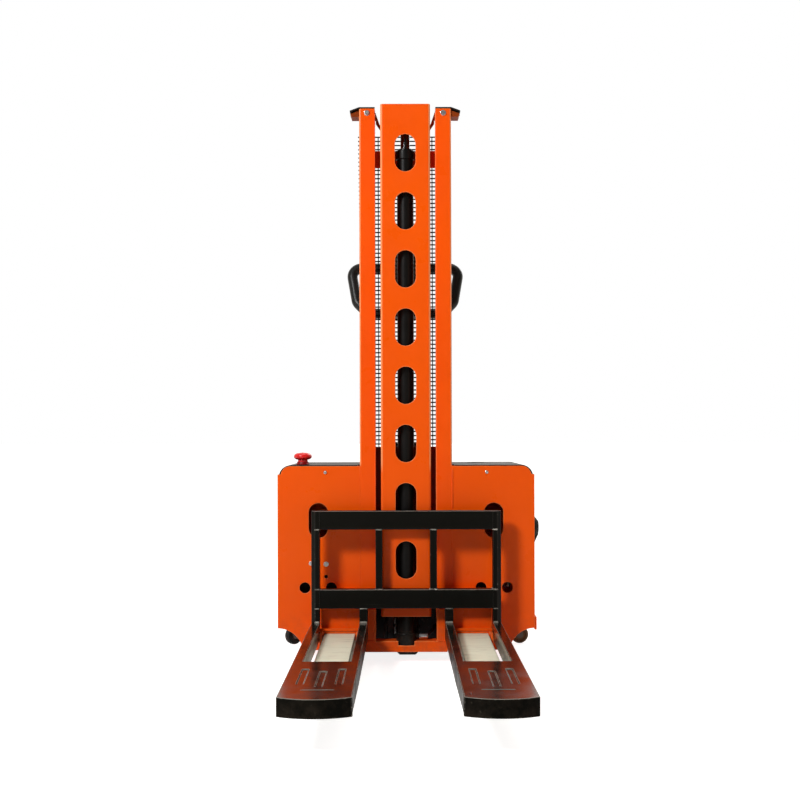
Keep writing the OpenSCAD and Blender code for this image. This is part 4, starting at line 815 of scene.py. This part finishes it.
def light(name, place, target, size, power, color=(1, 1, 1)):
    """A soft lamp that faces a target; its size is width and height in metres, its power in watts."""
    data = bpy.data.lights.new(name, "AREA")
    data.shape = "RECTANGLE"
    data.size, data.size_y = size
    data.energy = power
    data.color = color
    obj = bpy.data.objects.new(name, data)
    bpy.context.scene.collection.objects.link(obj)
    obj.matrix_world = facing(Vector(place), Vector(place) - Vector(target))
    return obj


def link_rule(name, obj, state):
    """A light's rule for one object: it alone is reached or gives shade, or it is left out."""
    group = bpy.data.collections.new(name)
    group.objects.link(obj)
    group.collection_objects[0].light_linking.link_state = state
    return group


# The key lamp's place, target, size and power
KEY = ((-2.75, -3.45, 3.50), (0, 0.35, 0.72), (1.0, 1.0), 208)


def lamps():
    """Key lamp from the upper left, a warm fill and two weak lamps from behind and above.

    A twin of the key lights the right column past the mast, which shades it too deeply otherwise.
    """
    column, mast = bpy.data.objects["mast_column_right_skin"], bpy.data.objects["inner_mast_skin"]
    light("key", *KEY).light_linking.receiver_collection = link_rule("key_lights", column, "EXCLUDE")
    twin = light("column_key", *KEY)
    twin.light_linking.receiver_collection = link_rule("twin_lights", column, "INCLUDE")
    twin.light_linking.blocker_collection = link_rule("twin_shades", mast, "EXCLUDE")
    light("fill", (3.0, -2.2, 1.2), (0, 0.3, 0.6), (1.6, 2.2), 10, (1.0, 0.50, 0.22))
    light("back", (1.4, 3.2, 2.8), (0, 0.4, 0.8), (2.0, 1.4), 34)
    light("top", (0.3, 0.3, 3.9), (0, 0.3, 0), (1.6, 1.6), 14)


def backdrop():
    """A world that is white to the camera, and as a light warm ahead of it and dim behind it."""
    world = bpy.data.worlds.new("studio")
    bpy.context.scene.world = world
    world.use_nodes = True
    tree = world.node_tree
    tree.nodes.clear()
    coords = add_node(tree, "ShaderNodeTexCoord").outputs["Generated"]
    inputs = {"Value": add_node(tree, "ShaderNodeSeparateXYZ", {"Vector": coords}).outputs["Y"],
              "From Min": -0.35, "From Max": 0.55, "To Min": 0.05, "To Max": 1.0}
    level = add_node(tree, "ShaderNodeMapRange", inputs, interpolation_type="SMOOTHSTEP").outputs["Result"]
    lit = add_node(tree, "ShaderNodeBackground", {"Color": (1.0, 0.94, 0.88, 1), "Strength": level})
    seen = add_node(tree, "ShaderNodeBackground", {"Color": (1, 1, 1, 1), "Strength": 1.0})
    by_camera = add_node(tree, "ShaderNodeLightPath").outputs["Is Camera Ray"]
    mix = add_node(tree, "ShaderNodeMixShader", {"Fac": by_camera, 1: lit.outputs[0], 2: seen.outputs[0]})
    add_node(tree, "ShaderNodeOutputWorld", {"Surface": mix.outputs[0]})


def floor_paint():
    """A pale floor that glows for the camera, and weakly in glossy paint where it lies further back."""
    material = bpy.data.materials.new("pale_floor")
    material.use_nodes = True
    tree = material.node_tree
    tree.nodes.clear()
    coords = add_node(tree, "ShaderNodeTexCoord").outputs["Object"]
    grain = add_node(tree, "ShaderNodeTexNoise", {"Vector": coords, "Scale": 3.0}).outputs["Fac"]
    tone = add_mix(tree, grain, (0.80, 0.80, 0.79), (0.84, 0.84, 0.83))
    diffuse = add_node(tree, "ShaderNodeBsdfDiffuse", {"Color": tone})
    inputs = {"Value": add_node(tree, "ShaderNodeSeparateXYZ", {"Vector": coords}).outputs["Y"],
              "From Min": -2.2, "From Max": -0.5, "To Min": 0.0, "To Max": 0.2}
    back = add_node(tree, "ShaderNodeMapRange", inputs).outputs["Result"]
    path = add_node(tree, "ShaderNodeLightPath").outputs
    mirrored = add_node(tree, "ShaderNodeMath", {0: path["Is Glossy Ray"], 1: back}, operation="MULTIPLY")
    strength = add_node(tree, "ShaderNodeMath", {0: path["Is Camera Ray"], 1: 0.84, 2: mirrored.outputs[0]},
                        operation="MULTIPLY_ADD")
    glow = add_node(tree, "ShaderNodeEmission", {"Strength": strength.outputs[0]})
    add = add_node(tree, "ShaderNodeAddShader", {0: diffuse.outputs[0], 1: glow.outputs[0]})
    add_node(tree, "ShaderNodeOutputMaterial", {"Surface": add.outputs[0]})
    return material


def studio_floor():
    """The floor, just under the wheels."""
    mesh = bpy.data.meshes.new("floor")
    half = 90.0
    corners = [(-half, -half, 0), (half, -half, 0), (half, half, 0), (-half, half, 0)]
    mesh.from_pydata(corners, [], [(0, 1, 2, 3)])
    mesh.materials.append(floor_paint())
    floor = bpy.data.objects.new("floor", mesh)
    bpy.context.scene.collection.objects.link(floor)
    floor.location.z = -0.0005


camera()
backdrop()
lamps()
studio_floor()
bpy.context.scene.view_settings.view_transform = "Standard"
